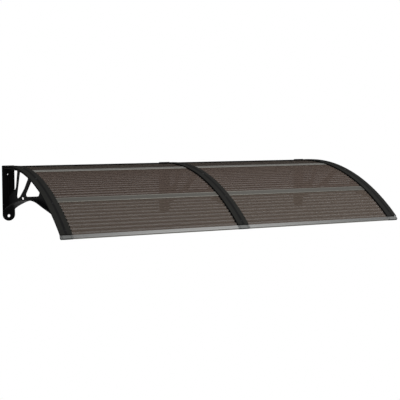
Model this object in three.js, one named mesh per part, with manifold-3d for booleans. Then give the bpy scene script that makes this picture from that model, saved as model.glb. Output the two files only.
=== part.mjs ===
// Polycarbonate door canopy, 2 m wide and 1 m deep, in millimetres with +Z up.
// X runs along the wall, Y = 0 is the wall and the roof reaches out to -Y. The origin is the
// middle of the back of the centre bracket's wall plate.
//
// Three moulded brackets carry an arched roof of smoked twin-wall sheet, two bays wide. Each bay
// is three sheets long, joined by H profiles. A wall profile holds the rear edge, a front rail
// the front edge, and a screwed cover strip clamps the sheets down along each bracket.

import * as THREE from "three";
import { mergeVertices } from "three/addons/utils/BufferGeometryUtils.js";
import Module from "manifold-3d";

const wasm = await Module();
wasm.setup();

// Overall sizes
const BRACKET_PITCH = 968; // centre to centre of neighbouring brackets
const ROOF_RADIUS = 1268; // upper face of the sheets
const ROOF_ARC = 1058; // along the sheet's upper face, from the wall to the front of the rail
const CREST_DEPTH = 164; // highest line of the roof, out from the wall
const CREST_DROP = 4; // crest of the sheet below the top of the wall plates
const FACET_LENGTH = 56; // longest straight step along the arch

// Fits
const CLEARANCE = 0.3; // between faces that touch
const END_GAP = 1; // between a profile's end and the bracket beside it

// Wall plate of a bracket
const PLATE_WIDTH = 71;
const PLATE_HEIGHT = 312;
const PLATE_THICKNESS = 6;
const PLATE_CORNER = 4;
const UPPER_HOLE = { diameter: 11, down: 50 };
const LOWER_HOLE = { diameter: 16, down: 284 };

// Arm, arch and web of a bracket
const ARM_WIDTH = 50;
const ARM_THICKNESS = 4.5;
const ARM_END_LIP = 6; // upstand at the front that the cap is screwed to
const ARCH_WIDTH = 58;
const ARCH_THICKNESS = 5;
const WEB_THICKNESS = 5;
const WEB_RIM = 7; // web left standing between an opening and the arm
const OPENING_FILLET = 9;
const HUB_SLOT = { depth: 280, drop: 166, length: 42, height: 12 };

// Twin-wall sheet
const SHEET_THICKNESS = 4.5;
const SHEET_SKIN = 0.6;
const SHEET_RIB = 0.8;
const RIB_PITCH = 26.7;
const SHEET_REAR = 8; // rear edge, along the arch from the wall
const SHEET_SIDE_GAP = 6; // between the sheets of the two bays
const SHEET_SCREW_HOLE = 6.5;
const SHORTEST_STUB = 4; // an open half cell shorter than this is left out

// Profiles across the roof
const WALL_PROFILE = { lip: 30, upperLip: 26, flange: 1.8, legHeight: 14, legThickness: 2.4, top: 11 };
const WALL_PROFILE_ROOM = 2; // between the sheets' rear edge and the profile's channel
const WALL_SEAL = { thickness: 5.5, height: 7, tip: 1.3, bevel: 5.2 };
const JOINT_PROFILE = {
  upper: 42, lower: 34, flange: 1.8, web: 2, bead: 5, beadRise: 0.5, beadSlope: 1.5, corner: 1,
};
const REAR_JOINT = 354; // middle of the H profiles, along the arch from the wall
const FRONT_JOINT = 764;
const JOINT_SLACK = 0.6; // between a sheet's edge and the H profile's web
const FRONT_RAIL = { upper: 22, lower: 18, flange: 1.8, nose: 2, corner: 1.4, lowerCorner: 1 };
const FRONT_CAP = { width: 64, flange: 2.2, nose: 2.4, drop: 7.3, groove: 1, grooveInset: 9, corner: 1.4 };
const SHEET_FRONT_GAP = 7; // from a sheet's front edge to the inside of the rail's nose

// Cover strip and its gaskets
const COVER = { width: 62, edge: 7.4, crown: 8.6, flat: 8, wall: 2.2, lip: 2, lipBottom: 0.7 };
const COVER_RIB = { offset: 18.5, width: 3 };
const GASKET = { width: 6, height: 1.7 };

// Screws, and the bosses under the arms that take them
const LAST_COVER_SCREW = 48; // from the front of the rail
const COVER_SCREWS_AT = [60, 285, 520, 800, ROOF_ARC - LAST_COVER_SCREW];
const COVER_SCREW = { head: 8.4, headDepth: 3, shank: 4.2, length: 24 };
const CAP_SCREW = { head: 6, headDepth: 2, shank: 3, length: 7.2 };
const SCREW_HOLE_PLAY = 0.6;
const SCREW_END_ROOM = 1.5;
const BOSS = { diameter: 11, floor: 3 };
const ROUND_SEGMENTS = 9;

// Underside of the arch as distances out from the wall and down from the top of the plate
const ARCH_LINE = [
  [0, 255], [95, 224], [270, 184], [420, 166], [520, 160.5], [600, 165], [690, 179], [830, 199.5],
];

// Openings in the web in the same way. A point without a drop lies on the rim under the arm.
const WEB_OPENINGS = {
  besidePlate: [[14, 27], [188], [158, 114], [140, 128], [14, 174]],
  betweenStruts: [[228], [396], [314, 110], [229, 161], [182, 174], [165, 162]],
  towardsFront: [[447], [584], [578, 114], [562, 133], [534, 137], [347, 152], [329, 142]],
};

const SMOKED_SHEET = { color: 0x554d48, roughness: 0.3, metalness: 0, transparent: true, opacity: 0.85 };
const BLACK_PLASTIC = { color: 0x141414, roughness: 0.45, metalness: 0 };
const DARK_COVER = { color: 0x343433, roughness: 0.4, metalness: 0.1 };
const MILL_ALUMINIUM = { color: 0xa9a8a4, roughness: 0.35, metalness: 0.9 };
const GREY_PLASTIC = { color: 0x8b8c8c, roughness: 0.5, metalness: 0 };
const BLACK_RUBBER = { color: 0x0d0d0d, roughness: 0.85, metalness: 0 };
const BLACK_SCREW = { color: 0x1b1b1c, roughness: 0.35, metalness: 0.8 };

// Derived places
const PLATE_TOP = PLATE_HEIGHT / 2;
const ARCH_CENTRE_Z = PLATE_TOP - CREST_DROP - ROOF_RADIUS;
const WALL_ANGLE = -Math.asin(CREST_DEPTH / ROOF_RADIUS);
const BRACKET_XS = [-BRACKET_PITCH, 0, BRACKET_PITCH];
const BAYS = [["left", -BRACKET_PITCH], ["right", 0]];
const ARM_TOP = -SHEET_THICKNESS - CLEARANCE;
const ARM_BOTTOM = ARM_TOP - ARM_THICKNESS;
const ARM_FRONT = ROOF_ARC - FRONT_CAP.nose - CLEARANCE;
const SHEET_FRONT = ROOF_ARC - FRONT_RAIL.nose - SHEET_FRONT_GAP;
const COVER_FRONT = ROOF_ARC - FRONT_RAIL.upper - CLEARANCE;
const FACET_SAG = ROOF_RADIUS * (1 - Math.cos(FACET_LENGTH / 2 / ROOF_RADIUS));
const GASKET_SEAT = CLEARANCE + FACET_SAG;
const OVER_BRACKET_WIDTH = Math.max(COVER.width, FRONT_CAP.width);
const AT_WALL_WIDTH = Math.max(COVER.width, PLATE_WIDTH);
const COVER_REAR = PLATE_THICKNESS + CLEARANCE - COVER.crown * Math.sin(WALL_ANGLE);

const canopy = new THREE.Group();

function addPart(name, geometry, finish) {
  const mesh = new THREE.Mesh(geometry, new THREE.MeshStandardMaterial(finish));
  mesh.name = name;
  canopy.add(mesh);
}

// Joining and cutting

function toSolid(geometry) {
  const bare = geometry.clone();
  bare.deleteAttribute("normal");
  bare.deleteAttribute("uv");
  const merged = mergeVertices(bare, 1e-4);
  return new wasm.Manifold(new wasm.Mesh({
    numProp: 3,
    vertProperties: new Float32Array(merged.attributes.position.array),
    triVerts: new Uint32Array(merged.index.array),
  }));
}

function toGeometry(solid) {
  const mesh = solid.getMesh();
  const geometry = new THREE.BufferGeometry();
  geometry.setAttribute("position", new THREE.BufferAttribute(mesh.vertProperties, 3));
  geometry.setIndex(new THREE.BufferAttribute(mesh.triVerts, 1));
  geometry.computeVertexNormals();
  return geometry;
}

function join(geometries) {
  return geometries.map(toSolid).reduce((whole, piece) => whole.add(piece));
}

function cut(solid, cutters) {
  return cutters.map(toSolid).reduce((rest, cutter) => rest.subtract(cutter), solid);
}

// The roof is drawn flat and then laid over the arch. In the flat drawing "along" is the distance
// from the wall over the sheet's upper face and "up" is the height above that face.

function overArch(along, up, x) {
  const angle = WALL_ANGLE + along / ROOF_RADIUS;
  const radius = ROOF_RADIUS + up;
  return new THREE.Vector3(
    x,
    -(CREST_DEPTH + radius * Math.sin(angle)),
    ARCH_CENTRE_Z + radius * Math.cos(angle),
  );
}

function moveVertices(geometry, place) {
  const position = geometry.attributes.position;
  for (let i = 0; i < position.count; i += 1) {
    const p = place(position.getX(i), position.getY(i), position.getZ(i));
    position.setXYZ(i, p.x, p.y, p.z);
  }
  return geometry;
}

// A section drawn as (x, up) and run along the arch.
function alongRoof(shape, from, to, xCentre) {
  const steps = Math.ceil((to - from) / FACET_LENGTH);
  const flat = new THREE.ExtrudeGeometry(shape, { depth: to - from, steps, bevelEnabled: false });
  return moveVertices(flat, (x, up, run) => overArch(from + run, up, xCentre + x));
}

// A side view drawn as (out from the wall, down from the plate's top), from one X to another.
function sideSlab(shape, xLeft, xRight) {
  const slab = new THREE.ExtrudeGeometry(shape, {
    depth: xRight - xLeft, bevelEnabled: false, curveSegments: 3,
  });
  return moveVertices(slab, (out, drop, run) => new THREE.Vector3(
    xLeft + run, -out, PLATE_TOP - drop,
  ));
}

// A closed outline that runs counterclockwise, as a shape with holes in it needs.
function outlineOf(points) {
  return new THREE.Shape(THREE.ShapeUtils.area(points) < 0 ? [...points].reverse() : points);
}

function polygon(points) {
  return outlineOf(points.map(([x, y]) => new THREE.Vector2(x, y)));
}

// A section drawn as (along, up), bent to the arch and run across the roof.
function acrossRoof(shape, xLeft, xRight) {
  const bend = (path) => path.getPoints().map(({ x: along, y: up }) => {
    const place = overArch(along, up, 0);
    return new THREE.Vector2(-place.y, PLATE_TOP - place.z);
  });
  const bent = outlineOf(bend(shape));
  bent.holes = shape.holes.map((hole) => new THREE.Path(bend(hole)));
  return sideSlab(bent, xLeft, xRight);
}

function rectangle(left, bottom, right, top) {
  return polygon([[left, bottom], [right, bottom], [right, top], [left, top]]);
}

// A closed outline whose corners are rounded off by curves.
function roundedOutline(points, fillet) {
  const corners = points.map(([x, y]) => new THREE.Vector2(x, y));
  const path = new THREE.Path();
  corners.forEach((corner, i) => {
    const before = corners[(i + corners.length - 1) % corners.length];
    const after = corners[(i + 1) % corners.length];
    const reach = Math.min(fillet, corner.distanceTo(before) / 2.2, corner.distanceTo(after) / 2.2);
    const start = corner.clone().add(before.clone().sub(corner).setLength(reach));
    const end = corner.clone().add(after.clone().sub(corner).setLength(reach));
    if (i === 0) path.moveTo(start.x, start.y);
    else path.lineTo(start.x, start.y);
    path.quadraticCurveTo(corner.x, corner.y, end.x, end.y);
  });
  path.closePath();
  return path;
}

// A round bar whose axis stands on the arch: "up" along the arch's radius.
function barOnArch(diameter, along, bottom, top, x) {
  const bar = new THREE.CylinderGeometry(diameter / 2, diameter / 2, top - bottom, ROUND_SEGMENTS);
  const angle = WALL_ANGLE + along / ROOF_RADIUS;
  bar.rotateX(Math.PI / 2 + angle);
  const middle = overArch(along, (bottom + top) / 2, x);
  return bar.translate(middle.x, middle.y, middle.z);
}

// Bracket

// How far the arm's underside lies below the plate's top at a distance out from the wall.
function armDrop(out) {
  const radius = ROOF_RADIUS + ARM_BOTTOM;
  const height = Math.sqrt(radius ** 2 - (out - CREST_DEPTH) ** 2);
  return PLATE_TOP - (ARCH_CENTRE_Z + height);
}

function wallPlate() {
  const half = PLATE_WIDTH / 2;
  const bottom = PLATE_TOP - PLATE_HEIGHT + half;
  const outline = new THREE.Shape();
  outline.moveTo(-half, bottom);
  outline.absarc(0, bottom, half, Math.PI, 2 * Math.PI, false);
  outline.lineTo(half, PLATE_TOP - PLATE_CORNER);
  outline.absarc(half - PLATE_CORNER, PLATE_TOP - PLATE_CORNER, PLATE_CORNER, 0, Math.PI / 2, false);
  outline.lineTo(PLATE_CORNER - half, PLATE_TOP);
  outline.absarc(
    PLATE_CORNER - half, PLATE_TOP - PLATE_CORNER, PLATE_CORNER, Math.PI / 2, Math.PI, false,
  );
  outline.closePath();
  for (const hole of [UPPER_HOLE, LOWER_HOLE]) {
    const ring = new THREE.Path();
    ring.absarc(0, PLATE_TOP - hole.down, hole.diameter / 2, 0, 2 * Math.PI, true);
    outline.holes.push(ring);
  }
  const plate = new THREE.ExtrudeGeometry(outline, {
    depth: PLATE_THICKNESS, bevelEnabled: false, curveSegments: 6,
  });
  return plate.rotateX(Math.PI / 2);
}

function archCurve() {
  const line = new THREE.SplineCurve(ARCH_LINE.map(([out, drop]) => new THREE.Vector2(out, drop)));
  const inPlate = (x, y) => new THREE.Vector2(Math.max(x, PLATE_THICKNESS / 2), y);
  const points = line.getPoints(3 * (ARCH_LINE.length - 1));
  const upper = points.map((point, i) => {
    const tangent = line.getTangent(i / (points.length - 1));
    return inPlate(point.x + tangent.y * ARCH_THICKNESS, point.y - tangent.x * ARCH_THICKNESS);
  });
  return { under: points.map(({ x, y }) => inPlate(x, y)), upper };
}

function archFlange() {
  const { under, upper } = archCurve();
  return sideSlab(outlineOf([...under, ...upper.reverse()]), -ARCH_WIDTH / 2, ARCH_WIDTH / 2);
}

// The web fills the side view between the wall plate, the arm and the arch.
function web() {
  const sunk = ARCH_THICKNESS / 2;
  const lower = archCurve().under
    .map((point) => new THREE.Vector2(point.x, point.y - sunk))
    .filter((point) => point.y > armDrop(point.x));
  const start = lower[0].x;
  const end = lower[lower.length - 1].x;
  const steps = Math.ceil(end / FACET_LENGTH);
  const upper = [];
  for (let i = steps; i >= 0; i -= 1) {
    const out = start + (end - start) * (i / steps);
    upper.push(new THREE.Vector2(out, armDrop(out) - ARM_THICKNESS / 2));
  }
  const outline = outlineOf([...lower, ...upper]);
  outline.holes.push(...webOpenings());
  return sideSlab(outline, -WEB_THICKNESS / 2, WEB_THICKNESS / 2);
}

// Three fan-shaped openings between struts that meet over the arch, and a slot at their foot.
function webOpenings() {
  const placed = ([out, drop = armDrop(out) + WEB_RIM]) => [out, drop];
  const fans = Object.values(WEB_OPENINGS).map((fan) => roundedOutline(fan.map(placed), OPENING_FILLET));
  const { depth, drop, length, height } = HUB_SLOT;
  const slot = new THREE.Path();
  slot.absarc(depth + (length - height) / 2, drop, height / 2, -Math.PI / 2, Math.PI / 2, false);
  slot.absarc(depth - (length - height) / 2, drop, height / 2, Math.PI / 2, 1.5 * Math.PI, false);
  slot.closePath();
  return [...fans, slot];
}

function bracketArm() {
  const half = ARM_WIDTH / 2;
  const flange = alongRoof(rectangle(-half, ARM_BOTTOM, half, ARM_TOP), 0, ARM_FRONT, 0);
  const lip = rectangle(ARM_FRONT - ARM_END_LIP, ARM_BOTTOM, ARM_FRONT, 0);
  return [flange, acrossRoof(lip, -half, half)];
}

// The arch and the web end where they run into the arm.
function archAndWeb() {
  const roofSpace = rectangle(-ARCH_WIDTH, ARM_TOP, ARCH_WIDTH, ARM_TOP + ARCH_WIDTH);
  return cut(join([web(), archFlange()]), [alongRoof(roofSpace, 0, ARM_FRONT, 0)]);
}

function coverScrewTip() {
  return COVER.crown - COVER_SCREW.length;
}

function bracket() {
  const pilotFloor = coverScrewTip() - SCREW_END_ROOM;
  const bossBottom = pilotFloor - BOSS.floor;
  const bossTop = (ARM_TOP + ARM_BOTTOM) / 2;
  const bosses = COVER_SCREWS_AT.map((along) => barOnArch(BOSS.diameter, along, bossBottom, bossTop, 0));
  const pilot = COVER_SCREW.shank + SCREW_HOLE_PLAY;
  const pilots = COVER_SCREWS_AT.map((along) => barOnArch(pilot, along, pilotFloor, ARM_TOP + 1, 0));
  const body = join([wallPlate(), ...bracketArm(), ...bosses]).add(archAndWeb());
  return cut(body, [...pilots, capScrewPilot()]);
}

// Cover strip: a shallow roof with lips along both edges and two ribs that press on the gaskets.
function coverSection() {
  const half = COVER.width / 2;
  const inner = half - COVER.lip;
  const ribOut = COVER_RIB.offset + COVER_RIB.width / 2;
  const ribIn = COVER_RIB.offset - COVER_RIB.width / 2;
  const ribBottom = GASKET_SEAT + GASKET.height + CLEARANCE;
  const slope = (COVER.crown - COVER.edge) / (half - COVER.flat / 2);
  const ceiling = (x) => COVER.edge + slope * (half - x) - COVER.wall;
  const right = [
    [COVER.flat / 2, COVER.crown], [half, COVER.edge], [half, COVER.lipBottom],
    [inner, COVER.lipBottom], [inner, ceiling(inner)], [ribOut, ceiling(ribOut)],
    [ribOut, ribBottom], [ribIn, ribBottom], [ribIn, ceiling(ribIn)],
  ];
  const left = right.map(([x, up]) => [-x, up]).reverse();
  return polygon([...right, ...left]);
}

function coverStrip(x) {
  const strip = toSolid(alongRoof(coverSection(), COVER_REAR, COVER_FRONT, x));
  return cut(strip, COVER_SCREWS_AT.map((along) => onCover(screwSeat(COVER_SCREW), along, x)));
}

function gasket(x) {
  const half = GASKET.width / 2;
  const section = rectangle(-half, GASKET_SEAT, half, GASKET_SEAT + GASKET.height);
  return alongRoof(section, COVER_REAR, COVER_FRONT, x);
}

// A countersunk screw along +Z with the top of its head at the origin.
function screw({ head, headDepth, shank, length }) {
  const profile = [
    [0, -length], [shank / 2, -length + shank], [shank / 2, -headDepth],
    [head / 2, -headDepth / 2], [head / 2, 0], [0, 0],
  ];
  const turned = new THREE.LatheGeometry(
    profile.map(([r, h]) => new THREE.Vector2(r, h)), ROUND_SEGMENTS,
  );
  return turned.rotateX(Math.PI / 2);
}

// The countersunk hole that such a screw sits in.
function screwSeat({ head, headDepth, shank, length }) {
  const play = SCREW_HOLE_PLAY / 2;
  const profile = [
    [0, -length], [shank / 2 + play, -length], [shank / 2 + play, -headDepth - play],
    [head / 2 + play, -headDepth / 2 - play], [head / 2 + play, 1], [0, 1],
  ];
  const turned = new THREE.LatheGeometry(
    profile.map(([r, h]) => new THREE.Vector2(r, h)), ROUND_SEGMENTS,
  );
  return turned.rotateX(Math.PI / 2);
}

// Stands a screw or its hole on the arch, its head level with the cover strip's crown.
function onCover(upright, along, x) {
  const place = overArch(along, COVER.crown, x);
  return upright.rotateX(WALL_ANGLE + along / ROOF_RADIUS).translate(place.x, place.y, place.z);
}

// The cap screws lie along the arch, with their heads on the front of the caps.
function capScrewUp() {
  return ARM_TOP / 2;
}

function onCapFront(upright, x) {
  const place = overArch(ROOF_ARC, capScrewUp(), x);
  const turn = Math.PI / 2 + WALL_ANGLE + ROOF_ARC / ROOF_RADIUS;
  return upright.rotateX(turn).translate(place.x, place.y, place.z);
}

function barAlongArch(diameter, from, to, x) {
  const bar = new THREE.CylinderGeometry(diameter / 2, diameter / 2, to - from, ROUND_SEGMENTS);
  const middle = overArch((from + to) / 2, capScrewUp(), x);
  return bar
    .rotateX(WALL_ANGLE + (from + to) / 2 / ROOF_RADIUS)
    .translate(middle.x, middle.y, middle.z);
}

function capScrewPilot() {
  return barAlongArch(CAP_SCREW.shank + SCREW_HOLE_PLAY, ARM_FRONT - ARM_END_LIP - 1, ARM_FRONT + 1, 0);
}

// Front cap: closes the roof's front edge at a bracket, in line with the rails.
function frontCap(x) {
  const rear = ROOF_ARC - FRONT_RAIL.upper;
  const top = CLEARANCE + FRONT_CAP.flange;
  const inside = ROOF_ARC - FRONT_CAP.nose;
  const section = polygon([
    [rear, CLEARANCE], [inside, CLEARANCE], [inside, -FRONT_CAP.drop], [ROOF_ARC, -FRONT_CAP.drop],
    [ROOF_ARC, top - FRONT_CAP.corner], [ROOF_ARC - FRONT_CAP.corner, top], [rear, top],
  ]);
  const half = FRONT_CAP.width / 2;
  const body = toSolid(acrossRoof(section, x - half, x + half));
  const grooves = [-1, 1].map((side) => {
    const middle = side * (half - FRONT_CAP.grooveInset);
    const depth = FRONT_CAP.groove / 2;
    const channel = rectangle(middle - depth, top - depth, middle + depth, top + 1);
    return alongRoof(channel, rear - 1, ROOF_ARC + 1, x);
  });
  return cut(body, [onCapFront(screwSeat(CAP_SCREW), x), ...grooves]);
}

// Twin-wall sheet: two skins with ribs between them. The cells start at one edge, and the half
// cell left over at the other edge stays open, as where a sheet is cut to length.
function sheetSection(closedEdge, openEdge) {
  const direction = Math.sign(openEdge - closedEdge);
  const length = Math.abs(openEdge - closedEdge);
  const at = (distance) => closedEdge + direction * distance;
  const cells = Math.floor((length - SHORTEST_STUB) / RIB_PITCH);
  const stub = cells * RIB_PITCH + SHEET_RIB;
  const ceiling = -SHEET_SKIN;
  const floor = SHEET_SKIN - SHEET_THICKNESS;
  const ribs = Array.from({ length: cells + 1 }, (_, i) => i * RIB_PITCH);
  const upperSkin = ribs.map((rib) => [at(rib), 0]);
  const lowerSkin = ribs.map((rib) => [at(rib), -SHEET_THICKNESS]).reverse();
  const outline = polygon([
    ...upperSkin, [at(length), 0], [at(length), ceiling], [at(stub), ceiling],
    [at(stub), floor], [at(length), floor], [at(length), -SHEET_THICKNESS], ...lowerSkin,
  ]);
  ribs.slice(0, -1).forEach((rib) => {
    const near = at(rib + SHEET_RIB);
    const far = at(rib + RIB_PITCH);
    outline.holes.push(polygon([[near, floor], [far, floor], [far, ceiling], [near, ceiling]]));
  });
  return outline;
}

function sheetEdges() {
  const besideWeb = JOINT_PROFILE.web / 2 + JOINT_SLACK;
  return [
    ["rear", REAR_JOINT - besideWeb, SHEET_REAR],
    ["middle", FRONT_JOINT - besideWeb, REAR_JOINT + besideWeb],
    ["front", FRONT_JOINT + besideWeb, SHEET_FRONT],
  ];
}

// A bay's sheets reach from the outer edge of the end bracket's arm to the middle of the centre one.
function bayEdges(bay) {
  const outer = BRACKET_PITCH + ARM_WIDTH / 2;
  return bay === "left" ? [-outer, -SHEET_SIDE_GAP / 2] : [SHEET_SIDE_GAP / 2, outer];
}

function sheet(bay, closedEdge, openEdge) {
  const [xLeft, xRight] = bayEdges(bay);
  const [from, to] = [Math.min(closedEdge, openEdge), Math.max(closedEdge, openEdge)];
  const xScrews = bay === "left" ? -BRACKET_PITCH : BRACKET_PITCH;
  const holes = COVER_SCREWS_AT.filter((along) => along > from && along < to).map((along) => (
    barOnArch(SHEET_SCREW_HOLE, along, -SHEET_THICKNESS - 1, 1, xScrews)
  ));
  return cut(toSolid(acrossRoof(sheetSection(closedEdge, openEdge), xLeft, xRight)), holes);
}

// Profiles run across a bay between the widest of what stands on its two brackets.
function bayRun(xBay, betweenWidth) {
  const fromBracket = betweenWidth / 2 + END_GAP;
  return [xBay + fromBracket, xBay + BRACKET_PITCH - fromBracket];
}

function jointProfile(at, xBay) {
  const { upper, lower, flange, web: webWidth, bead, beadRise, beadSlope, corner } = JOINT_PROFILE;
  const top = CLEARANCE + flange;
  const under = -SHEET_THICKNESS - CLEARANCE;
  const bottom = under - flange;
  const half = upper / 2;
  const rim = half - bead;
  const section = polygon([
    [at - half, CLEARANCE], [at - half, top + beadRise - corner], [at - half + corner, top + beadRise],
    [at - rim, top + beadRise], [at - rim + beadSlope, top], [at + rim - beadSlope, top],
    [at + rim, top + beadRise], [at + half - corner, top + beadRise],
    [at + half, top + beadRise - corner],
    [at + half, CLEARANCE], [at + webWidth / 2, CLEARANCE], [at + webWidth / 2, under],
    [at + lower / 2, under], [at + lower / 2, bottom], [at - lower / 2, bottom],
    [at - lower / 2, under], [at - webWidth / 2, under], [at - webWidth / 2, CLEARANCE],
  ]);
  return acrossRoof(section, ...bayRun(xBay, OVER_BRACKET_WIDTH));
}

function frontRail(xBay) {
  const { upper, lower, flange, nose, corner, lowerCorner } = FRONT_RAIL;
  const top = CLEARANCE + flange;
  const under = -SHEET_THICKNESS - CLEARANCE;
  const inside = ROOF_ARC - nose;
  const section = polygon([
    [ROOF_ARC - upper, CLEARANCE], [inside, CLEARANCE], [inside, under], [ROOF_ARC - lower, under],
    [ROOF_ARC - lower, under - flange], [ROOF_ARC - lowerCorner, under - flange],
    [ROOF_ARC, under - flange + lowerCorner], [ROOF_ARC, top - corner], [ROOF_ARC - corner, top],
    [ROOF_ARC - upper, top],
  ]);
  return acrossRoof(section, ...bayRun(xBay, OVER_BRACKET_WIDTH));
}

// Wall profile: a leg against the wall and a channel that takes the sheets' rear edge.
function wallProfile(xBay) {
  const { lip, upperLip, flange, legHeight, legThickness, top } = WALL_PROFILE;
  const [xLeft, xRight] = bayRun(xBay, AT_WALL_WIDTH);
  const under = -SHEET_THICKNESS - CLEARANCE;
  const back = SHEET_REAR - WALL_PROFILE_ROOM;
  const channel = polygon([
    [legThickness / 2, under - flange], [lip, under - flange], [lip, under], [back, under],
    [back, CLEARANCE], [upperLip, CLEARANCE], [upperLip, CLEARANCE + flange],
    [legThickness / 2, CLEARANCE + flange],
  ]);
  const leg = sideSlab(rectangle(CLEARANCE, top, legThickness, top + legHeight), xLeft, xRight);
  return join([acrossRoof(channel, xLeft, xRight), leg]);
}

// Rubber strip on top of the wall profile's leg, pressed against the wall.
function wallSeal(xBay) {
  const { thickness, height, tip, bevel } = WALL_SEAL;
  const [xLeft, xRight] = bayRun(xBay, AT_WALL_WIDTH);
  const seat = WALL_PROFILE.top - CLEARANCE;
  const lipped = polygon([
    [CLEARANCE, seat], [CLEARANCE, seat - height], [CLEARANCE + tip, seat - height],
    [thickness, seat - height + bevel], [thickness, seat],
  ]);
  return sideSlab(lipped, xLeft, xRight);
}

// Assembly

["left", "centre", "right"].forEach((side, i) => {
  const x = BRACKET_XS[i];
  addPart(`bracket_${side}`, toGeometry(bracket().translate([x, 0, 0])), BLACK_PLASTIC);
  addPart(`cover_strip_${side}`, toGeometry(coverStrip(x)), DARK_COVER);
  addPart(`gasket_${side}_1`, gasket(x - COVER_RIB.offset), BLACK_RUBBER);
  addPart(`gasket_${side}_2`, gasket(x + COVER_RIB.offset), BLACK_RUBBER);
  addPart(`front_cap_${side}`, toGeometry(frontCap(x)), GREY_PLASTIC);
  addPart(`cap_screw_${side}`, onCapFront(screw(CAP_SCREW), x), BLACK_SCREW);
  COVER_SCREWS_AT.forEach((along, n) => {
    addPart(`cover_screw_${side}_${n + 1}`, onCover(screw(COVER_SCREW), along, x), BLACK_SCREW);
  });
});

BAYS.forEach(([bay, xBay]) => {
  sheetEdges().forEach(([place, closedEdge, openEdge]) => {
    addPart(`sheet_${bay}_${place}`, toGeometry(sheet(bay, closedEdge, openEdge)), SMOKED_SHEET);
  });
  addPart(`joint_profile_${bay}_rear`, jointProfile(REAR_JOINT, xBay), MILL_ALUMINIUM);
  addPart(`joint_profile_${bay}_front`, jointProfile(FRONT_JOINT, xBay), MILL_ALUMINIUM);
  addPart(`front_rail_${bay}`, frontRail(xBay), MILL_ALUMINIUM);
  addPart(`wall_profile_${bay}`, toGeometry(wallProfile(xBay)), BLACK_PLASTIC);
  addPart(`wall_seal_${bay}`, wallSeal(xBay), BLACK_RUBBER);
});

export default canopy;
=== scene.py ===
"""Door canopy: an arched roof of smoked twin-wall sheet on three moulded brackets.

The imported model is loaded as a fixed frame. Each piece that shows is then made again in its own
place as a smooth surface, worked out as whole arrays of points, and gets the finish of the real
material. Shapes are worked out in millimetres and turned to metres when a mesh is made.
"""

import logging
import math
from dataclasses import dataclass, field
from enum import Enum
from typing import Any, Callable, Iterable, Sequence

import bmesh
import bpy
import numpy as np
from mathutils.geometry import tessellate_polygon
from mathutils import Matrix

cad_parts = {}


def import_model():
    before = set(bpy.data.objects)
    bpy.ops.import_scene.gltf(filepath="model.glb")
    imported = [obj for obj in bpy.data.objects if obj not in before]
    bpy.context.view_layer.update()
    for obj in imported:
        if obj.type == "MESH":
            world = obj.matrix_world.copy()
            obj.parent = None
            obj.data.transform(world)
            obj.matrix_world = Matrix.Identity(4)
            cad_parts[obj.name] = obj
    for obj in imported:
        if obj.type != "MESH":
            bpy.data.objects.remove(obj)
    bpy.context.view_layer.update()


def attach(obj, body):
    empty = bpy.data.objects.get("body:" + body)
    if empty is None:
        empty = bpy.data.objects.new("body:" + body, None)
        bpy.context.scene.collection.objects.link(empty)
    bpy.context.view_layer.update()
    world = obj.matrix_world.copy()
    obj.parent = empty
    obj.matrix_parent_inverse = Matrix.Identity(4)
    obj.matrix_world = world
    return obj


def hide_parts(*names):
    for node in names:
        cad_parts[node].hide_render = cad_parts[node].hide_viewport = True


LOG = logging.getLogger("canopy")
MM = 0.001
BODY = "root"
RIB_PITCH = 26.7
SHARPEST_SMOOTH = math.radians(32)
SHARPEST_UNROUNDED = math.radians(50)
STEEPEST_UPWARD = math.radians(45)
LOW_NOISE, HIGH_NOISE = 0.3, 0.7


# colours and nodes


def linear(hex_colour: str) -> tuple[float, float, float, float]:
    """Turns an sRGB colour into the linear one that a shader takes.

    Args:
        hex_colour: Six hex digits, red first.

    Returns:
        Linear red, green and blue, and an alpha of 1.
    """
    levels = np.array([int(hex_colour[i:i + 2], 16) for i in (0, 2, 4)]) / 255
    low = levels / 12.92
    high = ((levels + 0.055) / 1.055) ** 2.4
    red, green, blue = np.where(levels <= 0.04045, low, high)
    return float(red), float(green), float(blue), 1.0


def add_node(
    tree: bpy.types.NodeTree,
    kind: str,
    settings: dict[str, Any] | None = None,
    inputs: dict[str | int, Any] | None = None,
) -> bpy.types.Node:
    """Adds a node with its settings, values and links.

    Args:
        tree: The node tree that takes the node.
        kind: Blender's name of the node's type.
        settings: Properties of the node.
        inputs: A value or another node's output for each named or numbered socket.

    Returns:
        The new node.
    """
    node = tree.nodes.new(kind)
    for name, value in (settings or {}).items():
        setattr(node, name, value)
    for name, value in (inputs or {}).items():
        if isinstance(value, bpy.types.NodeSocket):
            tree.links.new(value, node.inputs[name])
        else:
            node.inputs[name].default_value = value
    return node


def new_material(name: str) -> tuple[bpy.types.Material, bpy.types.NodeTree, bpy.types.Node]:
    """Makes a new material.

    Args:
        name: The material's name.

    Returns:
        The material, its node tree and its shader.
    """
    material = bpy.data.materials.new(name)
    material.use_nodes = True
    tree = material.node_tree
    return material, tree, tree.nodes["Principled BSDF"]


def noise(
    tree: bpy.types.NodeTree, scale: float, stretch: Sequence[float], detail: float = 3.0,
) -> bpy.types.NodeSocket:
    """Adds noise in the piece's own coordinates.

    Args:
        tree: The node tree that takes the nodes.
        scale: Grains in a metre.
        stretch: How much longer the grains are along each axis.
        detail: Detail of the noise.

    Returns:
        The noise's output.
    """
    place = add_node(tree, "ShaderNodeTexCoord").outputs["Object"]
    squeeze = tuple(1 / factor for factor in stretch)
    mapped = add_node(tree, "ShaderNodeMapping", inputs={"Vector": place, "Scale": squeeze})
    inputs = {"Vector": mapped.outputs["Vector"], "Scale": scale, "Detail": detail}
    return add_node(tree, "ShaderNodeTexNoise", inputs=inputs).outputs["Fac"]


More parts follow.
